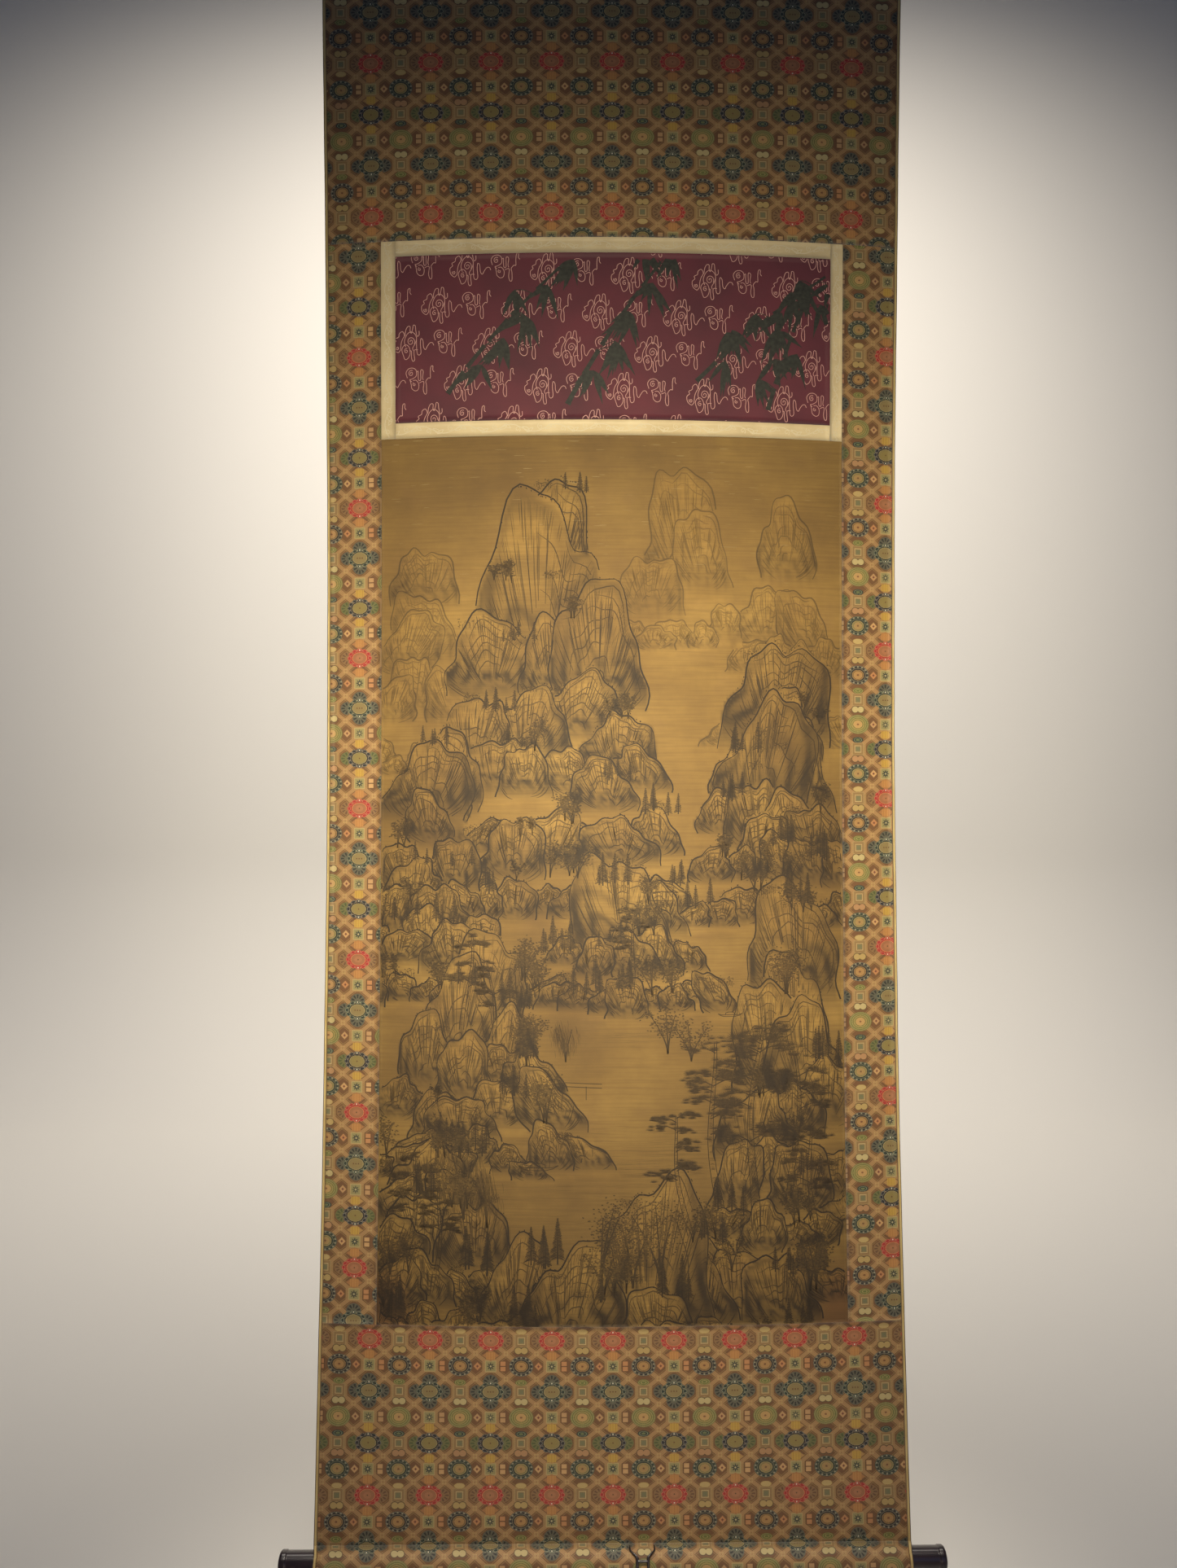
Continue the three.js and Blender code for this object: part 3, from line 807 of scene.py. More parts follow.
def damaskFigure(material):
    # One winding vine along the middle of each border strip
    top, low, high, bottom = rowBorder / mm, rowInscription / mm, rowBorderBottom / mm, rowPainting / mm
    left, right, outer = insideLeft / mm, insideRight / mm, pictureHalf / mm
    drawn = []
    for name, box, upright in (
        ("vineTop", (left, top, right, low), False),
        ("vineBottom", (left, high, right, bottom), False),
        ("vineLeft", (-outer, top, left, bottom), True),
        ("vineRight", (right, top, outer, bottom), True),
    ):
        strokes = Strokes()
        middle = (box[0] + box[2]) / 2 if upright else (box[1] + box[3]) / 2
        start, end = box[upright::2]
        vineStrokes(strokes, start, end, middle, upright)
        margin = np.array([0.6, 0.6, -0.6, -0.6])
        piece, _, _ = strokePiece(name, strokes, box + margin, 0.0, vine["lift"], material)
        drawn.append(piece)
    return drawn


def cloudSilkMaterial():
    # Plain-woven silk dyed purple-red: fine level wefts, a soft sheen, faded in patches
    material, tree, shader = newMaterial("purpleRedSilk", 0.62, sheen=0.3)
    place = clothCoordinates(tree)
    patch = addNode(tree, "TexNoise", {"Vector": place, "Scale": 0.012, "Detail": 4.0})
    colour = addNode(tree, "ValToRGB", [patch], ramp=("LINEAR", [(0.3, "#4b1622"), (0.7, "#5f1e2a")]))
    weave(tree, shader, place, colour, warpMm=0.9, weftMm=0.7, depth=0.0001, shade=0.08)
    return material


def satinMaterial(name, hexText):
    # Satin-woven figure: its floats are longer than the ground's, so it shines and catches more light
    material, tree, shader = newMaterial(name, 0.45, sheen=0.3)
    weave(tree, shader, clothCoordinates(tree), linearColour(hexText)[:3],
          warpMm=0.9, weftMm=0.6, depth=0.0001, shade=0.1)
    return material


def damaskMaterial():
    # Cream silk damask: a smooth plain-woven ground that reflects softly, yellowed unevenly
    material, tree, shader = newMaterial("creamDamask", 0.5, sheen=0.25)
    place = clothCoordinates(tree)
    patch = addNode(tree, "TexNoise", {"Vector": place, "Scale": 0.02, "Detail": 5.0})
    colour = addNode(tree, "ValToRGB", [patch], ramp=("LINEAR", [(0.3, "#c0aa7f"), (0.7, "#d5c298")]))
    weave(tree, shader, place, colour, warpMm=0.8, weftMm=0.8, depth=0.0001, shade=0.07)
    return material


def bambooInkMaterial():
    # Soot ink with a green cast, brushed on silk: nearly black and flat, greyer where the brush ran dry
    material, tree, shader = newMaterial("blackGreenInk", 0.55)
    place = clothCoordinates(tree)
    grain = addNode(tree, "TexNoise", {"Vector": place, "Scale": 0.2, "Detail": 4.0})
    colour = addNode(tree, "ValToRGB", [grain], ramp=("LINEAR", [(0.3, "#1c1d16"), (0.7, "#33342a")]))
    weave(tree, shader, place, colour, warpMm=0.9, weftMm=0.7, depth=0.0001, shade=0.08)
    return material


def edgingMaterial():
    # Narrow beige silk strip folded over the edge, a brown seam inside; the dark hairline outside is painted
    # shade of the turned edge
    material, tree, shader = newMaterial("edgingSilk", 0.6, sheen=0.2)
    place = clothCoordinates(tree)
    away = distance(tree, addNode(tree, "SeparateXYZ", [place]))
    patch = addNode(tree, "TexNoise", {"Vector": place, "Scale": 0.03, "Detail": 3.0})
    colour = addNode(tree, "ValToRGB", [patch], ramp=("LINEAR", [(0.3, "#b79a5e"), (0.7, "#cdb478")]))
    colour = lay(tree, colour, "#6d4c1c", (away, half / mm - 3.7, 0.15))
    # painted shade: a dark hairline along the outer 0.9 mm, where the turned edge falls into shade
    colour = lay(tree, colour, "#4a3c26", (away, half / mm - 0.9, 0.15, "over"))
    weave(tree, shader, place, colour, warpMm=0.9, weftMm=0.7, depth=0.0001, shade=0.08)
    return material


# The painting's brushwork: a landscape of this script's own, laid out in millimetres from the
# painting's top middle. Rocks are drawn far to near, and a nearer rock hides what lies behind it.
brush = {
    "seed": 11,
    "outlineWidth": 2.1,  # mm
    "foldWidth": 1.25,
    "lift": 0.00006,  # the ink lies this far in front of the silk, in metres
    "rowsOfRock": [
        # centre, crest, width, height, rows, smallest and largest half width of one rock, ink strength
        (225, 110, 190, 280, 4, 26, 48, 0.56),
        (-250, 150, 150, 280, 4, 24, 46, 0.58),
        (85, 65, 150, 200, 3, 24, 44, 0.5),
        (-85, 50, 350, 560, 8, 34, 78, 0.98),
        (205, 290, 240, 330, 6, 28, 60, 0.98),
        (-240, 400, 200, 330, 6, 26, 54, 1.0),
        (20, 540, 260, 190, 4, 26, 52, 0.98),
        (-170, 670, 300, 270, 5, 30, 62, 0.95),
        (225, 620, 230, 480, 7, 34, 70, 0.98),
        (-235, 900, 260, 260, 5, 32, 60, 1.0),
        (40, 1000, 500, 190, 4, 36, 70, 1.0),
    ],
}
planting = {
    # after this many groups of rock: middle across and down, width, height, number of strokes
    "waters": {3: (110, 690, 330, 90, 70), 6: (-60, 880, 380, 130, 120)},
    "pavilion": (62, 585, 17),  # across, down, half width
    "boats": [(150, 742, 12), (-95, 935, 19)],
    "bridge": [
        [(-118, 835), (-60, 826), (-14, 828)], [(-118, 840), (-60, 831), (-14, 833)],
        [(-96, 838), (-96, 852)], [(-64, 832), (-64, 850)], [(-34, 831), (-34, 848)],
    ],
    "pines": [  # across, foot, height, lean
        (135, 985, 210, -0.05), (175, 1010, 250, 0.06), (232, 985, 190, 0.02), (95, 1020, 150, -0.12),
        (262, 1040, 150, -0.06), (-262, 1050, 130, 0.1), (-225, 1065, 110, 0.06), (-190, 760, 120, 0.08),
        (-150, 770, 95, -0.08), (20, 720, 110, 0.1),
    ],
    "leafTrees": [  # across, foot, height, whether its leaves hang like a willow's
        (-15, 1075, 95, False), (25, 1085, 80, False), (60, 1080, 105, False), (-190, 1000, 90, True),
        (-160, 1010, 75, True), (70, 790, 60, False), (100, 800, 52, False), (-60, 800, 50, True),
        (-110, 805, 58, False), (200, 560, 42, False), (232, 566, 36, False), (165, 570, 38, False),
        (-50, 560, 40, False), (-80, 566, 46, False),
    ],
}
silkHeight, silkHalf = cut["painting"] / mm, pictureHalf / mm


def rockRadius(angle, seeds):
    # Outline of a rock as a share of its half sizes: a half disc with three waves round its rim
    a, b, c = seeds
    return 1 + 0.13 * np.sin(2 * angle + a) + 0.075 * np.sin(5 * angle + b) + 0.04 * np.sin(11 * angle + c)


def rockPoint(rock, angle, share):
    # Point of a rock at an angle from its right base over the crest, share of the way to its outline
    radius = rockRadius(angle, rock["seeds"]) * share
    high = radius * np.sin(angle)
    return np.stack([rock["x"] + rock["w"] * (radius * np.cos(angle) + rock["lean"] * high),
                     rock["base"] - rock["h"] * high], -1)


def rockDepth(rock, points):
    # Share of the way out to the outline (1 there) and height share above the base for points (..., 2)
    ny = (rock["base"] - points[..., 1]) / rock["h"]
    nx = (points[..., 0] - rock["x"]) / rock["w"] - rock["lean"] * ny
    angle = np.arctan2(np.maximum(ny, 0), nx)
    away = np.hypot(nx, np.maximum(ny, -0.3 * ny)) / rockRadius(angle, rock["seeds"])
    return away, ny


def massif(rng, centre, crest, width, height, rows, smallest, largest, ink):
    # A mountain: rows of rocks that widen from the crest down, each row in front of the last
    rocks = []
    for k in range(rows):
        share = k / max(rows - 1, 1)
        span = width / 2 * (0.12 + 0.88 * share ** 0.75)
        size = largest + (smallest - largest) * share ** 0.7
        count = max(1, int(round(2 * span / (size * 1.15))))
        order = rng.permutation(count)
        for i in order:
            w = size * rng.uniform(0.75, 1.3)
            x = centre + span * ((2 * i + 1) / count - 1) + rng.uniform(-0.2, 0.2) * size
            h = w * rng.uniform(1.3, 2.3) * (1.15 - 0.45 * share)
            y = crest + share * (height - h) + rng.uniform(-0.3, 0.3) * h
            lean = np.clip((centre - x) / width, -0.5, 0.5) + rng.uniform(-0.3, 0.3)
            rocks.append({"x": x, "base": y + h, "w": w, "h": h, "ink": ink, "lean": lean,
                          "seeds": rng.uniform(0, 6.28, 3)})
    return rocks


def hideBehind(strokes, rock):
    # Ink under a nearer rock is wiped out
    x0, x1 = rock["x"] - 1.9 * rock["w"], rock["x"] + 1.9 * rock["w"]
    y0, y1 = rock["base"] - 1.3 * rock["h"], rock["base"] + 0.5 * rock["h"]
    for line in strokes.lines:
        if line[3][0] < x1 and line[4][0] > x0 and line[3][1] < y1 and line[4][1] > y0:
            away, ny = rockDepth(rock, line[0])
            line[2][(away < 1.0) & (ny > -0.45)] = -1


def drawRock(work, rng, rock):
    # One rock's brushwork: outline, folds, inner curls, hatching and moss
    hideBehind(work, rock)
    ink = rock["ink"]
    angle = np.linspace(-0.12, np.pi + 0.12, 44)
    shake = 1 + 0.008 * np.cumsum(rng.normal(0, 0.35, 44))
    pressure = 0.45 + 0.55 * np.abs(np.sin(angle * 1.5 + rock["seeds"][1]))
    work.add(rockPoint(rock, angle, shake), brush["outlineWidth"] * pressure, ink)
    # fold lines: strokes that start under the outline and fall with the flank towards the base
    folds = int(20 + rock["w"] * 0.75)
    start = rng.uniform(0.05, np.pi - 0.05, folds)
    run = rng.uniform(0.18, 0.6, folds)[:, None]
    first = rng.uniform(0.72, 0.97, folds)[:, None]
    t = np.linspace(0, 1, 7)[None]
    lean = (start[:, None] - np.pi / 2) * 0.35
    path = rockPoint(rock, start[:, None] + lean * t * run, first - run * t * 0.9)
    path[..., 1] += rock["h"] * 0.12 * t * run
    pressed = ink * rng.uniform(0.45, 0.9, (folds, 1))
    work.add(path, brush["foldWidth"] * taper(7), pressed)
    # inner curls: parts of smaller outlines, one within another
    for share in (0.93, 0.86, 0.78, 0.69, 0.59, 0.48, 0.36, 0.24):
        begin = rng.uniform(0.0, 1.6)
        arc = begin + np.linspace(0, rng.uniform(0.7, 1.7), 14)
        work.add(rockPoint(rock, arc, share * (1 + 0.03 * np.sin(6 * arc + share * 20))),
                 0.75 * brush["outlineWidth"] * taper(14), ink * 0.75)
    # short hatching under the crest, in ranks
    count = int(24 + rock["w"] * 2.0)
    at = rng.uniform(0.1, np.pi - 0.1, count)[:, None]
    out = (0.97 - 0.45 * rng.uniform(0, 1, count) ** 2)[:, None]
    t = np.linspace(0, 1, 4)[None]
    path = rockPoint(rock, at + 0.02 * t, out - 0.11 * t)
    work.add(path, 0.6 * taper(4, 0.4), ink * rng.uniform(0.3, 0.65, (count, 1)))
    # moss dots along the outline
    if ink > 0.6:
        count = int(rock["w"] * 0.35)
        at = rng.uniform(0.5, np.pi - 0.5, count)[:, None]
        t = np.linspace(0, 1, 3)[None]
        base = rockPoint(rock, at + 0 * t, 1.01 + 0 * t)
        base[..., 1] -= 1.9 * t
        base[..., 0] += rng.uniform(-0.4, 0.4, (count, 1)) * t
        work.add(base, 1.25 * taper(3, 0.6), ink)


def washOver(wash, points, rock):
    # Ink wash of one rock: pale crest and middle, darker towards its base and just inside its outline,
    # with folds = (0.5 + 0.5 sin(2 pi (3.2 away + waves round the rim)))^2
    acrossRock = points[:, 0] - rock["x"]
    upRock = points[:, 1] - rock["base"] + 0.4 * rock["h"]
    near = np.flatnonzero((np.abs(acrossRock) < 1.9 * rock["w"]) & (np.abs(upRock) < 0.95 * rock["h"]))
    away, ny = rockDepth(rock, points[near])
    nx = acrossRock[near] / rock["w"]
    within = np.clip((1 - away) / 0.03, 0, 1) * np.clip((ny + 0.45) / 0.4, 0, 1)
    edge = np.exp(-((1 - away) / 0.08) ** 2)
    low = np.clip(1 - ny, 0, 1.1) ** 2
    side = np.clip(np.abs(nx), 0, 1) ** 2
    turn = np.arctan2(np.maximum(ny, 0), nx)
    rim = 0.5 * np.sin(3 * turn + rock["seeds"][0]) + 0.2 * np.sin(8 * turn + rock["seeds"][1])
    streak = (0.5 + 0.5 * np.sin(2 * np.pi * (3.2 * away + rim))) ** 2
    value = 0.74 * low + 0.3 * edge + 0.36 * side + 0.62 * streak * (0.35 + 0.65 * low)
    value = np.clip(rock["ink"] * value - 0.04 + 0.1 * rock["base"] / silkHeight, 0, 0.94)
    mist = np.clip((ny + 0.3) / 0.5, 0, 1)
    wash[near] = wash[near] * (1 - within * (1 - 0.35 * (1 - mist))) + value * mist * within
    return wash


def drawPine(work, rng, x, foot, height, lean=0.0, ink=0.95):
    # A pine: a bent trunk, side branches, and flat pads of needle fans
    t = np.linspace(0, 1, 14)
    trunkX = x + lean * height * t + 0.03 * height * np.sin(5 * t + rng.uniform(0, 6))
    trunk = np.stack([trunkX, foot - height * t], -1)
    girth = 0.045 * height * (1 - 0.75 * t) + 0.5
    for side in (-0.5, 0.5):
        work.add(trunk + np.stack([side * girth, 0 * t], -1), 0.9, ink)
    bark = int(height / 2.2)
    at = rng.uniform(0.02, 0.85, bark)[:, None]
    u = np.linspace(-0.35, 0.35, 3)[None]
    thick = np.interp(at, t, girth)
    rings = np.stack([np.interp(at, t, trunkX) + u * thick, foot - height * at + 0.8 * u ** 2 * thick], -1)
    work.add(rings, 0.5 * taper(3, 0.5), ink * 0.7)
    pads = []
    s = np.linspace(0, 1, 8)
    for _ in range(int(5 + height / 22)):
        share = rng.uniform(0.42, 1.0)
        side = rng.choice([-1, 1])
        reach = height * rng.uniform(0.10, 0.26) * (1.25 - 0.6 * share)
        sag = reach * (0.18 * s - 0.34 * np.sin(2.2 * s))
        startX = np.interp(share, t, trunkX)
        branch = np.stack([startX + side * reach * s, foot - height * share + sag], -1)
        work.add(branch, 1.3 - 0.8 * s, ink)
        pads += [branch[4], branch[6], branch[7]]
    pads = np.array(pads + [trunk[-1]])
    fans, needles = len(pads) * 5, 9
    centre = np.repeat(pads, 5, 0) + rng.normal(0, 1, (fans, 2)) * [height * 0.035, height * 0.012]
    angle = np.linspace(0.1, np.pi - 0.1, needles)[None, :, None] + rng.normal(0, 0.06, (fans, 1, 1))
    reach = (height * 0.022 + 2.2) * rng.uniform(0.8, 1.2, (fans, 1, 1)) * np.linspace(0, 1, 3)[None, None]
    path = centre[:, None, None] + np.stack([reach * np.cos(angle), -0.7 * reach * np.sin(angle)], -1)
    work.add(path.reshape(-1, 3, 2), 0.75 * np.array([1.0, 0.8, 0.4]),
             ink * rng.uniform(0.7, 1.0, (fans * needles, 1)))


def drawFir(work, rng, x, foot, height, ink=0.95):
    # A fir: a thin trunk with ranks of short hanging boughs that narrow towards its tip
    t = np.linspace(0, 1, 6)
    work.add(np.stack([x + 0 * t, foot - height * t], -1), (1.0 + 0.012 * height) * (1.2 - t), ink)
    ranks = int(height / 1.7)
    share = np.repeat(np.linspace(0.14, 0.98, ranks), 2)[:, None]
    side = np.tile([-1.0, 1.0], ranks)[:, None]
    reach = (0.2 * height * (1 - share) + 0.9) * rng.uniform(0.65, 1.1, share.shape)
    s = np.linspace(0, 1, 4)[None]
    path = np.stack([x + side * reach * s, foot - height * share + 0.35 * reach * s ** 1.5], -1)
    work.add(path, 1.25 * taper(4, 0.5), ink * rng.uniform(0.7, 1.0, share.shape))


def drawLeafTree(work, rng, x, foot, height, ink=0.85, droop=False):
    # A broadleaf tree: forked trunk and clumps of leaf dots; a willow's strokes hang down instead
    tips = []
    t = np.linspace(0, 1, 10)
    for fork in range(3):
        bend = rng.uniform(-0.28, 0.28) + (fork - 1) * 0.2
        rise = height * (0.95 - 0.12 * abs(fork - 1)) * t
        path = np.stack([x + height * bend * t ** 1.6, foot - rise], -1)
        work.add(path, 0.03 * height * (1 - 0.8 * t) + 0.5, ink)
        tips += [path[5], path[7], path[9]]
    tips = np.array(tips)
    count = int(len(tips) * height * 0.45)
    centre = tips[rng.integers(0, len(tips), count)]
    centre = centre + rng.normal(0, 1, (count, 2)) * [height * 0.1, height * 0.07]
    t = np.linspace(0, 1, 3 if not droop else 6)[None]
    if droop:
        length = height * rng.uniform(0.12, 0.3, (count, 1))
        path = centre[:, None] + np.stack([0.12 * length * np.sin(2 * t), length * t], -1)
        work.add(path, 0.45 * taper(6), ink * 0.75)
    else:
        turn = rng.uniform(-0.5, 0.5, (count, 1))
        path = centre[:, None] + (t - 0.5)[..., None] * 2.6 * np.stack([np.cos(turn), np.sin(turn)], -1)
        work.add(path, 1.7 * taper(3, 0.45), ink * rng.uniform(0.6, 1.0, (count, 1)))


def drawWater(work, rng, x, y, width, height, count):
    # Still water: long thin level strokes, closer together towards the bank
    rowY = y + height * rng.uniform(0, 1, count)[:, None]
    middle = x + width * rng.uniform(-0.5, 0.5, count)[:, None]
    length = width * rng.uniform(0.08, 0.28, count)[:, None]
    t = np.linspace(-0.5, 0.5, 10)[None]
    path = np.stack([middle + length * t, rowY + 0.5 * np.sin(9 * t + rowY)], -1)
    work.add(path, 0.4 * taper(10), 0.34)


def drawLines(work, lines, width, ink):
    # Straight or bent lines with few points, as on roofs, boats and bridges
    for line in lines:
        corners = np.array(line, float)
        t = np.linspace(0, len(corners) - 1, 6 * (len(corners) - 1) + 1)
        path = np.stack([np.interp(t, np.arange(len(corners)), corners[:, k]) for k in (0, 1)], -1)
        work.add(path, width * np.ones(len(t)), ink)


def drawPavilion(work, x, y, size, ink=0.9):
    # An open pavilion on four posts under a hipped roof
    roof = [[(-1.25, 0), (-0.85, -0.2), (-0.3, -0.62), (0, -0.8), (0.3, -0.62), (0.85, -0.2), (1.25, 0)],
            [(-1.25, 0), (0, -0.07), (1.25, 0)], [(-0.06, -0.95), (0.06, -0.95), (0, -0.8), (-0.06, -0.95)]]
    ribs = [[(k * 0.12, -0.74 + 0.06 * abs(k)), (k * 0.36, -0.05)] for k in (-3, -2, -1, 0, 1, 2, 3)]
    posts = [[(k, -0.04), (k * 0.98, 0.85)] for k in (-0.85, -0.32, 0.32, 0.85)]
    floor = [[(-1.05, 0.85), (1.05, 0.85)], [(-1.1, 0.95), (1.1, 0.95)], [(-0.85, 0.6), (0.85, 0.6)]]
    for lines, width, strength in ((roof, 1.0, ink), (ribs, 0.4, ink * 0.7), (posts, 0.9, ink),
                                   (floor, 0.7, ink)):
        drawLines(work, [[(x + size * a, y + size * b) for a, b in line] for line in lines], width, strength)


def drawBoat(work, x, y, size, ink=0.9):
    # A flat boat with a mat roof and a raised pole
    lines = [[(-1.3, -0.18), (-1.0, 0.02), (-0.6, 0.12), (0.5, 0.12), (1.0, 0.0), (1.35, -0.22)],
             [(-1.3, -0.18), (-0.9, -0.06), (0.9, -0.06), (1.35, -0.22)],
             [(-0.5, -0.06), (-0.48, -0.26), (-0.2, -0.36), (0.2, -0.36), (0.46, -0.26), (0.5, -0.06)],
             [(0.75, -0.05), (0.8, -1.5)], [(0.8, -1.45), (0.2, -0.36)]]
    drawLines(work, [[(x + size * a, y + size * b) for a, b in line] for line in lines], 0.8, ink)


def paintLandscape():
    # Rocks with their brushwork, then what stands on and between them
    rng = np.random.default_rng(brush["seed"])
    work, trees, rocks = Strokes(), Strokes(), []
    for number, row in enumerate(brush["rowsOfRock"]):
        if number in planting["waters"]:
            drawWater(work, rng, *planting["waters"][number])
        group = massif(np.random.default_rng(brush["seed"] + number), *row)
        group.sort(key=lambda rock: rock["base"])
        for rock in group:
            drawRock(work, rng, rock)
        rocks += group
    drawPavilion(trees, *planting["pavilion"])
    for boat in planting["boats"]:
        drawBoat(trees, *boat)
    drawLines(trees, planting["bridge"], 0.9, 0.85)
    for x, foot, height, lean in planting["pines"]:
        drawPine(trees, rng, x, foot, height, lean)
    for x, foot, height, droop in planting["leafTrees"]:
        drawLeafTree(trees, rng, x, foot, height, droop=droop)
    # trees that stand on the rocks
    standing = [rock for rock in rocks if rock["ink"] > 0.6]
    for k, rock in enumerate(standing):
        top = rockPoint(rock, np.array([rng.uniform(0.6, 2.5)]), np.array([0.97]))[0]
        height = rng.uniform(24, 46) * (0.6 + 0.7 * top[1] / silkHeight)
        if k % 4 == 0:
            for _ in range(int(rng.integers(3, 7))):
                x, foot = top[0] + rng.uniform(-22, 22), top[1] + rng.uniform(-3, 7)
                drawFir(trees, rng, x, foot, height * rng.uniform(0.6, 1.1))
        elif k % 4 == 2:
            for _ in range(int(rng.integers(1, 4))):
                x, foot = top[0] + rng.uniform(-16, 16), top[1] + rng.uniform(0, 5)
                drawLeafTree(trees, rng, x, foot, height * rng.uniform(0.8, 1.2))
    # tufts of small trees along the ridges
    for rock in rocks:
        if rock["ink"] > 0.6 and rng.uniform() < 0.45:
            top = rockPoint(rock, np.array([rng.uniform(0.7, 2.4)]), np.array([1.0]))[0]
            count = int(rng.integers(5, 12))
            foot = top + np.stack([np.linspace(-9, 9, count), 1.5 + rng.uniform(-1, 2, count)], -1)
            size = rng.uniform(4, 9, (count, 1))
            t = np.linspace(0, 1, 4)[None]
            stems = np.stack([foot[:, :1] + 0.3 * np.sin(4 * t), foot[:, 1:] - size * t], -1)
            work.add(stems, 0.7 * np.array([1, 0.9, 0.7, 0.4]), 0.8)
            dots = rng.normal(0, 1, (count * 5, 2)) * [1.6, 1.8] + np.repeat(foot - [0, 1] * size, 5, 0)
            t = np.linspace(-0.5, 0.5, 3)[None]
            work.add(np.stack([dots[:, :1] + 1.8 * t, dots[:, 1:] + 0 * t], -1), 0.9 * taper(3, 0.5), 0.75)
    return work, trees, rocks


def washAt(points, rocks):
    # Bare silk is toned a little, more so at its head and towards its foot; rocks' crests stay paler:
    # 0.19 + 0.28 down^1.3 + 0.14 exp(-(down / 0.13)^2) + faint clouds
    down = np.clip(points[..., 1] / silkHeight, 0, 1)
    clouds = np.sin(points[..., 0] / 37 + 3 * down) * np.sin(points[..., 1] / 51)
    wash = 0.19 + 0.28 * down ** 1.3 + 0.14 * np.exp(-(down / 0.13) ** 2) + 0.03 * clouds
    for rock in rocks:
        wash = washOver(wash, points, rock)
    return wash


def inkPiece(name, strokes, rocks, material, lift):
    # Ink strokes darken whatever wash lies below them
    box = (-silkHalf + 1, 1, silkHalf - 1, silkHeight - 1)
    piece, points, ink = strokePiece(name, strokes, box, rowPainting, lift, material)
    below = washAt(points, rocks)
    setFloat(piece.data, "wash", 1 - (1 - below) * (1 - np.clip(ink, 0, 1)))
    return piece


def paintingMaterial():
    # Old painting silk, glued to paper: brown-gold and matt, with its weft as level lines and level
    # streaks, damp stains, and ink that darkens it by the wash stored at each point
    material, tree, shader = newMaterial("agedPaintingSilk", 0.72)
    place = clothCoordinates(tree)
    age = addNode(tree, "TexNoise", {"Vector": place, "Scale": 0.006, "Detail": 5.0, "Roughness": 0.6})
    aged = ("LINEAR", [(0.3, "#735626"), (0.5, "#8a6a30"), (0.7, "#a07e3d")])
    silk = addNode(tree, "ValToRGB", [age], ramp=aged)
    stain = addNode(tree, "TexNoise", {"Vector": place, "Scale": 0.02, "Detail": 3.0})
    silk = lay(tree, silk, "#84633a", addNode(tree, "MapRange", [stain, 0.55, 0.8, 0.0, 0.35]))
    # thicker wefts make level streaks some millimetres apart
    streaked = addNode(tree, "VectorMath", [place, (0.012, 0.35, 1)], operation="MULTIPLY")
    slub = addNode(tree, "TexNoise", {"Vector": streaked, "Scale": 1.0, "Detail": 3.0})
    silk = lay(tree, silk, "#6f5222", addNode(tree, "MapRange", [slub, 0.42, 0.68, 0.0, 0.4]))
    for side in (-1, 1):  # reddish damp stains at both lower corners
        corner, _ = offsetLength(tree, place, (side * 300, rowBottom / mm), (52, 78))
        silk = lay(tree, silk, "#6e3f24", addNode(tree, "MapRange", [corner, 0.5, 1.1, 0.5, 0.0]))
    # pale level cracks, only in the painting's upper part
    level = addNode(tree, "VectorMath", [place, (0.03, 0.9, 1)], operation="MULTIPLY")
    split = addNode(tree, "TexNoise", {"Vector": level, "Scale": 1.0, "Detail": 1.0})
    y = addNode(tree, "SeparateXYZ", [place]).node.outputs[1]
    upper = addNode(tree, "MapRange", [y, rowPainting / mm, rowPainting / mm + 260, 0.55, 0.0])
    silk = lay(tree, silk, "#d8c592", addNode(tree, "MapRange", [split, 0.735, 0.755, 0.0, 1.0]), upper)
    wash = addNode(tree, "Attribute", attribute_name="wash", attribute_type="GEOMETRY", out=2)
    weave(tree, shader, place, lay(tree, silk, "#241806", wash),
          warpMm=0.9, weftMm=0.8, depth=0.00008, shade=0.1)
    return material


def backingMaterial():
    # Backing paper: matt cream, yellowed in clouds, with pulp fibres and the pasted joins of its sheets
    material, tree, shader = newMaterial("backingPaper", 0.85)
    place = clothCoordinates(tree)
    cloudy = addNode(tree, "TexNoise", {"Vector": place, "Scale": 0.008, "Detail": 6.0, "Roughness": 0.6})
    creams = ("LINEAR", [(0.32, "#a99672"), (0.5, "#bcab88"), (0.7, "#c9bb9b")])
    y = addNode(tree, "SeparateXYZ", [place]).node.outputs[1]
    join = addNode(tree, "Math", [y, 408.0], operation="MODULO")  # sheets 408 mm high, lapped 6 mm
    colour = lay(tree, addNode(tree, "ValToRGB", [cloudy], ramp=creams), "#8f7d5c", (join, 6.0, 0.4), 0.3)
    stretched = addNode(tree, "VectorMath", [place, (0.1, 0.9, 1)], operation="MULTIPLY")
    fibre = addNode(tree, "TexNoise", {"Vector": stretched, "Scale": 1.4, "Detail": 4.0})
    height = addNode(tree, "Math", [inside(tree, (join, 6.0, 0.6)), 1.5, fibre], operation="MULTIPLY_ADD")
    bump = addNode(tree, "Bump", {"Strength": 0.5, "Distance": 0.00008, "Height": height})
    tree.links.new(colour, shader.inputs["Base Color"])
    tree.links.new(bump, shader.inputs["Normal"])
    return material


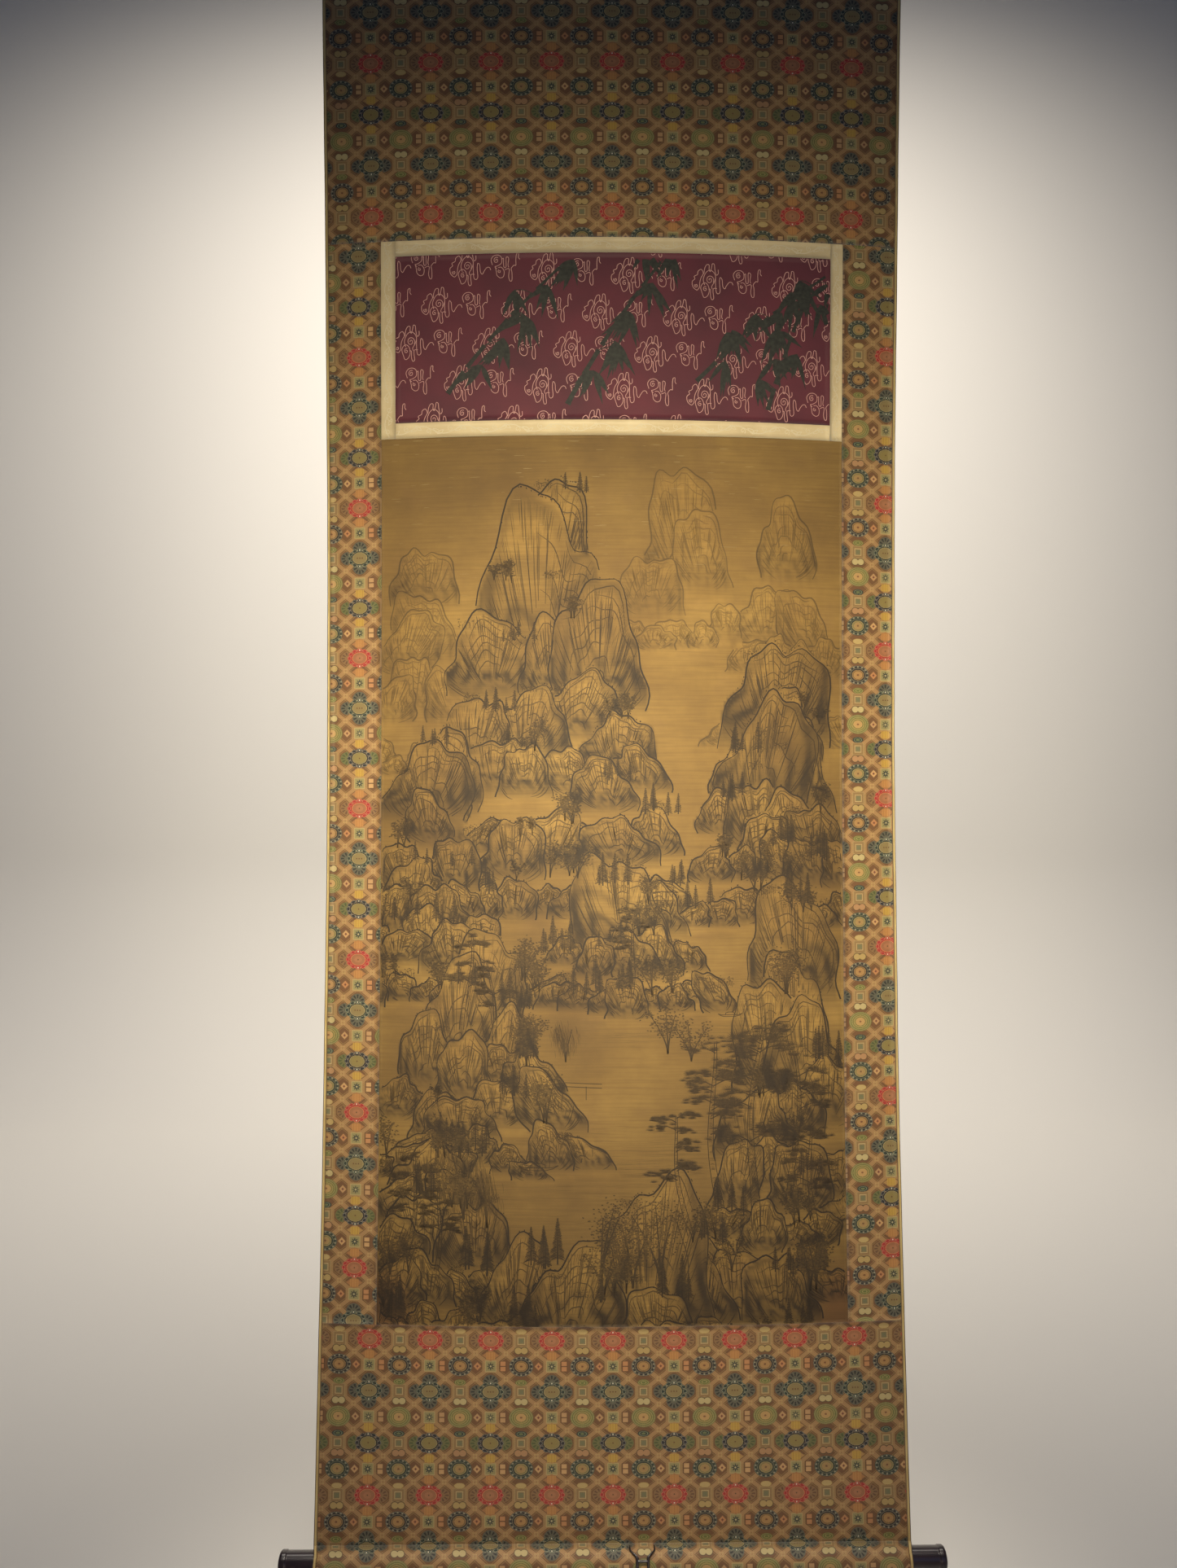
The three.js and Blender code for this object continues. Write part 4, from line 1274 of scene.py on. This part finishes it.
def woodMaterial(name, dark, pale, roughness, grainMm, **sockets):
    # Turned wood: grain runs along X as long streaks, and faint turning rings cross it; the polished
    # knobs mirror the room softly, and the plain rod stays matt
    material, tree, shader = newMaterial(name, roughness, **sockets)
    place = addNode(tree, "TexCoord", out=3)
    perGrain = 1000 / grainMm
    streaks = addNode(tree, "VectorMath", [place, (1000 * 0.06 / grainMm, perGrain, perGrain)],
                      operation="MULTIPLY")
    grain = addNode(tree, "TexNoise", {"Vector": streaks, "Scale": 1.0, "Detail": 6.0, "Roughness": 0.65})
    colour = addNode(tree, "ValToRGB", [grain], ramp=("LINEAR", [(0.35, dark), (0.68, pale)]))
    x = addNode(tree, "SeparateXYZ", [place]).node.outputs[0]
    rings = wave(tree, x, 2 * math.pi / 0.0011)  # 1.1 mm apart
    height = addNode(tree, "Math", [rings, 0.12, grain], operation="MULTIPLY_ADD")
    bump = addNode(tree, "Bump", {"Strength": 0.35, "Distance": 0.00006, "Height": height})
    tree.links.new(colour, shader.inputs["Base Color"])
    tree.links.new(bump, shader.inputs["Normal"])
    return material


def enamelMaterial():
    # Dark brown enamel on bent wire: narrow highlights, worn duller and paler where it is handled
    material, tree, shader = newMaterial("enamelledWire", 0.32, Coat_Weight=0.35, Coat_Roughness=0.2)
    place = addNode(tree, "TexCoord", out=3)
    wear = addNode(tree, "TexNoise", {"Vector": place, "Scale": 260.0, "Detail": 5.0, "Roughness": 0.7})
    colour = addNode(tree, "ValToRGB", [wear], ramp=("LINEAR", [(0.4, "#171112"), (0.72, "#33292b")]))
    rough = addNode(tree, "MapRange", [wear, 0.35, 0.75, 0.26, 0.5])
    bump = addNode(tree, "Bump", {"Strength": 0.25, "Distance": 0.00005, "Height": wear})
    tree.links.new(colour, shader.inputs["Base Color"])
    tree.links.new(rough, shader.inputs["Roughness"])
    tree.links.new(bump, shader.inputs["Normal"])
    return material


backing = backingMaterial()
headingBrocade = brocadeMaterial("headingBrocade", (-0.5, 347), (78.0, 65.2), turned=True)
leftBrocade = brocadeMaterial("leftBrocade", (-330.5, 657.3), (77.6, 65.1))
rightBrocade = brocadeMaterial("rightBrocade", (361.5, 1036.2), (77.6, 64.3))
footBrocade = brocadeMaterial("footBrocade", (-0.5, 1914), (77.2, 63.3))
damask = damaskMaterial()
cloudSilk = cloudSilkMaterial()
paintingSilk = paintingMaterial()
edgingSilk = edgingMaterial()
knobWood = woodMaterial("polishedHardwood", "#150c0f", "#2e1c20", 0.3, 1.6,
                        Coat_Weight=0.4, Coat_Roughness=0.15)
rodWood = woodMaterial("plainSoftwood", "#8a6238", "#c09a66", 0.62, 2.4)
forkEnamel = enamelMaterial()

# across and down of the framed panels, from the middle and from the top edge
framed, panelDown = (insideLeft, insideRight), (rowInscription, rowBorderBottom)
besideDown, stripDown = (rowBorder, rowPainting), (rowBorder, rowBottom)
wholeDown = (0, hang["clothEnd"])
sheets = [
    # name, node, slot, front material, across, down
    ("headingPanel", "top_panel", "brocade", headingBrocade, (-inner, inner), (0, rowBorder)),
    ("sideStripLeft", "left_strip", "brocade", leftBrocade, (-inner, -pictureHalf), stripDown),
    ("sideStripRight", "right_strip", "brocade", rightBrocade, (pictureHalf, inner), stripDown),
    ("footPanel", "bottom_panel", "brocade", footBrocade, (-inner, inner), (rowBottom, wholeDown[1])),
    ("damaskTop", "border_top", "damask", damask, framed, (rowBorder, rowInscription)),
    ("damaskBottom", "border_bottom", "damask", damask, framed, (rowBorderBottom, rowPainting)),
    ("damaskLeft", "border_left", "damask", damask, (-pictureHalf, insideLeft), besideDown),
    ("damaskRight", "border_right", "damask", damask, (insideRight, pictureHalf), besideDown),
    ("cloudPanel", "inscription_silk", "cloud_silk", cloudSilk, framed, panelDown),
    ("paintingPanel", "painting_silk", "painting_silk", paintingSilk, (-pictureHalf, pictureHalf),
     (rowPainting, rowBottom)),
    ("edgingLeft", "left_edging", "edging", edgingSilk, (-half, -inner), wholeDown),
    ("edgingRight", "right_edging", "edging", edgingSilk, (inner, half), wholeDown),
]
made = {}
for name, node, slot, material, across, down in sheets:
    step = 4 * mm if name == "paintingPanel" else 8 * mm  # the painting carries its wash at its points
    piece = clothShell(name, across, down, step, [material, backing])
    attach(piece, "root")
    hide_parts(node)
    made[name] = piece
print("cloth hung")

work, trees, rocks = paintLandscape()
flatPoints = flatSizes(made["paintingPanel"]) / mm - [0, rowPainting / mm]
setFloat(made["paintingPanel"].data, "wash", washAt(flatPoints, rocks))
drawn = [
    (inkPiece("rockBrushwork", work, rocks, paintingSilk, brush["lift"]), "painting_silk"),
    (inkPiece("treeBrushwork", trees, rocks, paintingSilk, brush["lift"] + strokeStack), "painting_silk"),
    (cloudFigure(satinMaterial("paleRoseSatin", "#c4968a")), "cloud_silk"),
    (bambooSpray(bambooInkMaterial()), "cloud_silk"),
]
drawn += [(piece, "damask") for piece in damaskFigure(satinMaterial("whiteSatin", "#d0c19e"))]
for piece, slot in drawn:
    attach(piece, "root")
    print(piece.name, len(piece.data.polygons), "quads")
print("painting and figures drawn")

# The roller's knobs and its clip, in millimetres
turning = {
    "start": 371.3,  # the knob's inner face, from the middle
    "radius": 14,
    "rimRadius": 14.8,
    "length": 44,
    "rimStart": 35,
    "rimEnd": 40,
    "endRadius": 9.8,
    "edge": 0.6,
}
clip = {
    "middle": 35.5,
    "legSpacing": 13.5,
    "tipSpacing": 30.5,
    "legRadius": 1.9,
    "tipRadius": 0.8,
    "clear": 0.5,
    "tip": math.radians(4),  # angles forward from the roller's top
    "splayed": math.radians(22),
    "throat": math.radians(52),
    "cross": math.radians(60),
    "backCross": math.radians(222),
    "roundedFrom": 0.985,  # share of a prong's length at which its tip starts to round
    "back": math.radians(230),
}


def smoothRise(value, span):
    # 0 at 0, 1 at span: 3 t^2 - 2 t^3
    t = np.clip(value / span, 0, 1)
    return t * t * (3 - 2 * t)


def ringed(centre, first, second, radius, count):
    # Points and faces of a round bar: centre + radius (first cos a + second sin a), both ends closed
    turn = 2 * np.pi * np.arange(count)[None, :, None] / count
    radius = np.broadcast_to(radius, (len(centre),))[:, None, None]
    around = first[:, None] * np.cos(turn) + second[:, None] * np.sin(turn)
    points = centre[:, None] + radius * around
    k = np.arange(count)
    rows = np.arange(len(centre) - 1)[:, None] * count
    ahead = rows + (k + 1) % count
    quads = np.stack([rows + k, ahead, ahead + count, rows + count + k], -1)
    last = (len(centre) - 1) * count
    faces = quads.reshape(-1, 4).tolist() + [k[::-1].tolist(), (last + k).tolist()]
    return points.reshape(-1, 3), faces


def solidPiece(name, parts, material):
    # Joins ringed bars into one mesh, faces outward, edges sharper than 40 degrees kept crisp
    points, faces = [], []
    for part, partFaces in parts:
        start = sum(len(p) for p in points)
        faces += [[k + start for k in face] for face in partFaces]
        points.append(part)
    mesh = bpy.data.meshes.new(name)
    mesh.from_pydata((np.concatenate(points) * mm).tolist(), [], faces)
    mesh.polygons.foreach_set("use_smooth", np.full(len(mesh.polygons), True))
    mesh.set_sharp_from_angle(angle=math.radians(40))
    mesh.materials.append(material)
    mesh.validate()
    piece = bpy.data.objects.new(name, mesh)
    bpy.context.scene.collection.objects.link(piece)
    return piece


def knobPiece(name, side):
    # Straight barrel with an eased inner edge, a rim that swells in over 2 mm, a rounded shoulder
    barrelRadius, rimRadius, endRadius = (turning[k] for k in ("radius", "rimRadius", "endRadius"))
    rimStart, rimEnd, length, edge = (turning[k] for k in ("rimStart", "rimEnd", "length", "edge"))
    a = np.linspace(0, np.pi / 2, 7)
    barrel = np.linspace(edge + 0.4, rimStart - 1.2, 12)
    swell = np.linspace(rimStart - 1, rimStart + 1, 7)
    rise = smoothRise(swell - rimStart + 1, 2) * (rimRadius - barrelRadius)
    shoulder = np.linspace(0, np.pi / 2, 14)
    along = np.concatenate([edge * (1 - np.cos(a)), barrel, swell, [rimEnd - 0.3],
                            rimEnd + (length - rimEnd) * np.sin(shoulder)])
    radius = np.concatenate([barrelRadius - edge * (1 - np.sin(a)), 0 * barrel + barrelRadius,
                             barrelRadius + rise, [rimRadius],
                             endRadius + (rimRadius - endRadius) * np.cos(shoulder)])
    centre = np.zeros((len(along), 3))
    centre[:, 0] = side * (turning["start"] + along)
    centre[:, 1:] = hang["rollerY"] / mm, hang["rollerZ"] / mm
    first = np.tile([0.0, 1.0, 0.0], (len(along), 1))
    second = np.tile([0.0, 0.0, float(side)], (len(along), 1))
    return solidPiece(name, [ringed(centre, first, second, radius, 56)], knobWood)


def clipPiece():
    # Two prongs that hug the roller from behind, under it and up its front, and two short cross bars.
    # A point at an angle forward from the roller's top = axis + reach (-sin, cos).
    parts = []
    rounded = np.linspace(0, np.pi / 2, 7)[1:]
    share = np.concatenate([np.linspace(0, clip["roundedFrom"], 70),
                            1 - (1 - clip["roundedFrom"]) * np.cos(rounded)])
    angle = clip["back"] + (clip["tip"] - clip["back"]) * share
    above = clip["throat"] - angle
    spread = smoothRise(above, clip["throat"] - clip["splayed"])
    thinned = smoothRise(above, clip["throat"] - clip["tip"])
    spacing = clip["legSpacing"] + (clip["tipSpacing"] - clip["legSpacing"]) * spread
    radius = clip["legRadius"] + (clip["tipRadius"] - clip["legRadius"]) * thinned
    past = np.clip(share - clip["roundedFrom"], 0, 1) / (1.013 * (1 - clip["roundedFrom"]))
    ends = np.sqrt(np.clip(1 - past ** 2, 0.01, 1))
    out = np.stack([0 * angle, -np.sin(angle), np.cos(angle)], -1)
    wrap = hang["wrapRadius"] / mm + clip["clear"]
    axis = np.array([0, hang["rollerY"], hang["rollerZ"]]) / mm
    sideways = np.tile([1.0, 0.0, 0.0], (len(angle), 1))
    for side in (-1, 1):
        centre = out * (wrap + radius)[:, None] + axis
        centre[:, 0] = clip["middle"] + side * spacing / 2
        parts.append(ringed(centre, out, sideways, radius * ends, 20))
    for at, thick in ((clip["cross"], 0.8), (clip["backCross"], 0.9)):
        level = wrap + clip["legRadius"]
        centre = np.zeros((5, 3)) + axis + level * np.array([0, -math.sin(at), math.cos(at)])
        centre[:, 0] = clip["middle"] + clip["legSpacing"] * np.linspace(-0.5, 0.5, 5)
        first = np.tile([0.0, 1.0, 0.0], (5, 1))
        second = np.tile([0.0, 0.0, 1.0], (5, 1))
        parts.append(ringed(centre, first, second, clip["legRadius"] * thick, 20))
    return solidPiece("rollerClip", parts, forkEnamel)


for piece, node, slot in (
    (knobPiece("knobLeft", -1), "left_knob", "knob_wood"),
    (knobPiece("knobRight", 1), "right_knob", "knob_wood"),
    (clipPiece(), "roller_fork", "fork_metal"),
):
    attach(piece, "root")
    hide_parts(node)
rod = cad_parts["roller_rod"].data
rod.materials.clear()
rod.materials.append(rodWood)
print("roller dressed")

# Camera at the visitor's height, a little left of the middle, looking slightly up
view = {
    "place": (-48.6 * mm, -1448.1 * mm, -1176.1 * mm),
    "yaw": math.radians(0.691),
    "pitch": math.radians(1.142),
    "focalPixels": 1400,
}
camera = bpy.data.cameras.new("camera")
camera.sensor_fit = "AUTO"
camera.sensor_width = 36
camera.lens = 36 * view["focalPixels"] / picture["height"]
cameraObject = bpy.data.objects.new("camera", camera)
cameraObject.location = view["place"]
cameraObject.rotation_euler = (math.pi / 2 + view["pitch"], 0, -view["yaw"])
bpy.context.scene.collection.objects.link(cameraObject)
bpy.context.scene.camera = cameraObject

# Stage: one pale sheet, a floor that sweeps up into a wall well behind the scroll
stage = {"floorZ": -2.27, "wallY": 3.3, "sweep": 0.9, "halfWidth": 7.0, "front": -6.0, "top": 4.0}
turnSteps = np.linspace(0, math.pi / 2, 24)
sweepY = stage["wallY"] - stage["sweep"] + stage["sweep"] * np.sin(turnSteps)
sweepZ = stage["floorZ"] + stage["sweep"] * (1 - np.cos(turnSteps))
profileY = np.concatenate([[stage["front"]], sweepY, [stage["wallY"]]])
profileZ = np.concatenate([[stage["floorZ"]], sweepZ, [stage["top"]]])
across = np.linspace(-stage["halfWidth"], stage["halfWidth"], 2)
points = np.stack([
    np.repeat(across[None], len(profileY), 0).ravel(),
    np.repeat(profileY, 2),
    np.repeat(profileZ, 2),
], -1)
floorPaint, _, floorShader = newMaterial("palePaint", 0.9)  # matt, so it takes only soft light
floorShader.inputs["Base Color"].default_value = linearColour("#e6e3dc")
backdrop = newMesh("backdrop", points, gridFaces(len(profileY), 2)[:, ::-1], materials=[floorPaint])


def areaLight(name, place, aim, size, watts, hexText, spread):
    # A rectangular lamp that faces its aim; the narrower its spread in degrees, the more of a beam
    light = bpy.data.lights.new(name, "AREA")
    light.shape = "RECTANGLE"
    light.size, light.size_y = size
    light.energy = watts
    light.spread = math.radians(spread)
    light.color = linearColour(hexText)[:3]
    lamp = bpy.data.objects.new(name, light)
    x, y, z = np.array(aim, float) - np.array(place, float)
    lamp.location = place
    lamp.rotation_euler = (math.atan2(math.hypot(x, y), -z), 0, math.atan2(y, x) - math.pi / 2)
    bpy.context.scene.collection.objects.link(lamp)


# A warm narrow beam on the scroll's middle, a weaker one on its foot, cool soft light from the
# right, a skimming light that picks out the roller's top, and one lamp for the wall behind
lights = [
    # name, place, aim, width and height, watts, colour, spread
    ("keyLight", (-0.12, -1.5, -1.14), (0, 0, -1.12), (0.6, 0.6), 6.7, "#fff3d6", 58),
    ("lowLight", (0.1, -1.5, -2.05), (0, 0, -2.05), (0.6, 0.4), 0.45, "#ffe7c4", 70),
    ("fillLight", (0.8, -2.4, -1.2), (0, 0, -1.5), (1.8, 1.4), 2.2, "#a4c0ff", 180),
    ("topLight", (0, -0.55, -0.35), (0, -0.015, -2.12), (0.8, 0.12), 1.15, "#fff6e6", 30),
    ("wallLight", (0, 1.0, 2.2), (0, 3.2, -0.8), (3.2, 1.0), 92, "#fff6ea", 118),
]
for lamp in lights:
    areaLight(*lamp)
world = bpy.data.worlds.new("studio")
bpy.context.scene.world = world
world.use_nodes = True
sky = world.node_tree.nodes["Background"].inputs
sky["Color"].default_value = linearColour("#ccdaff")
sky["Strength"].default_value = 0.095
bpy.context.scene.view_settings.view_transform = "Standard"
print("stage and lights set")
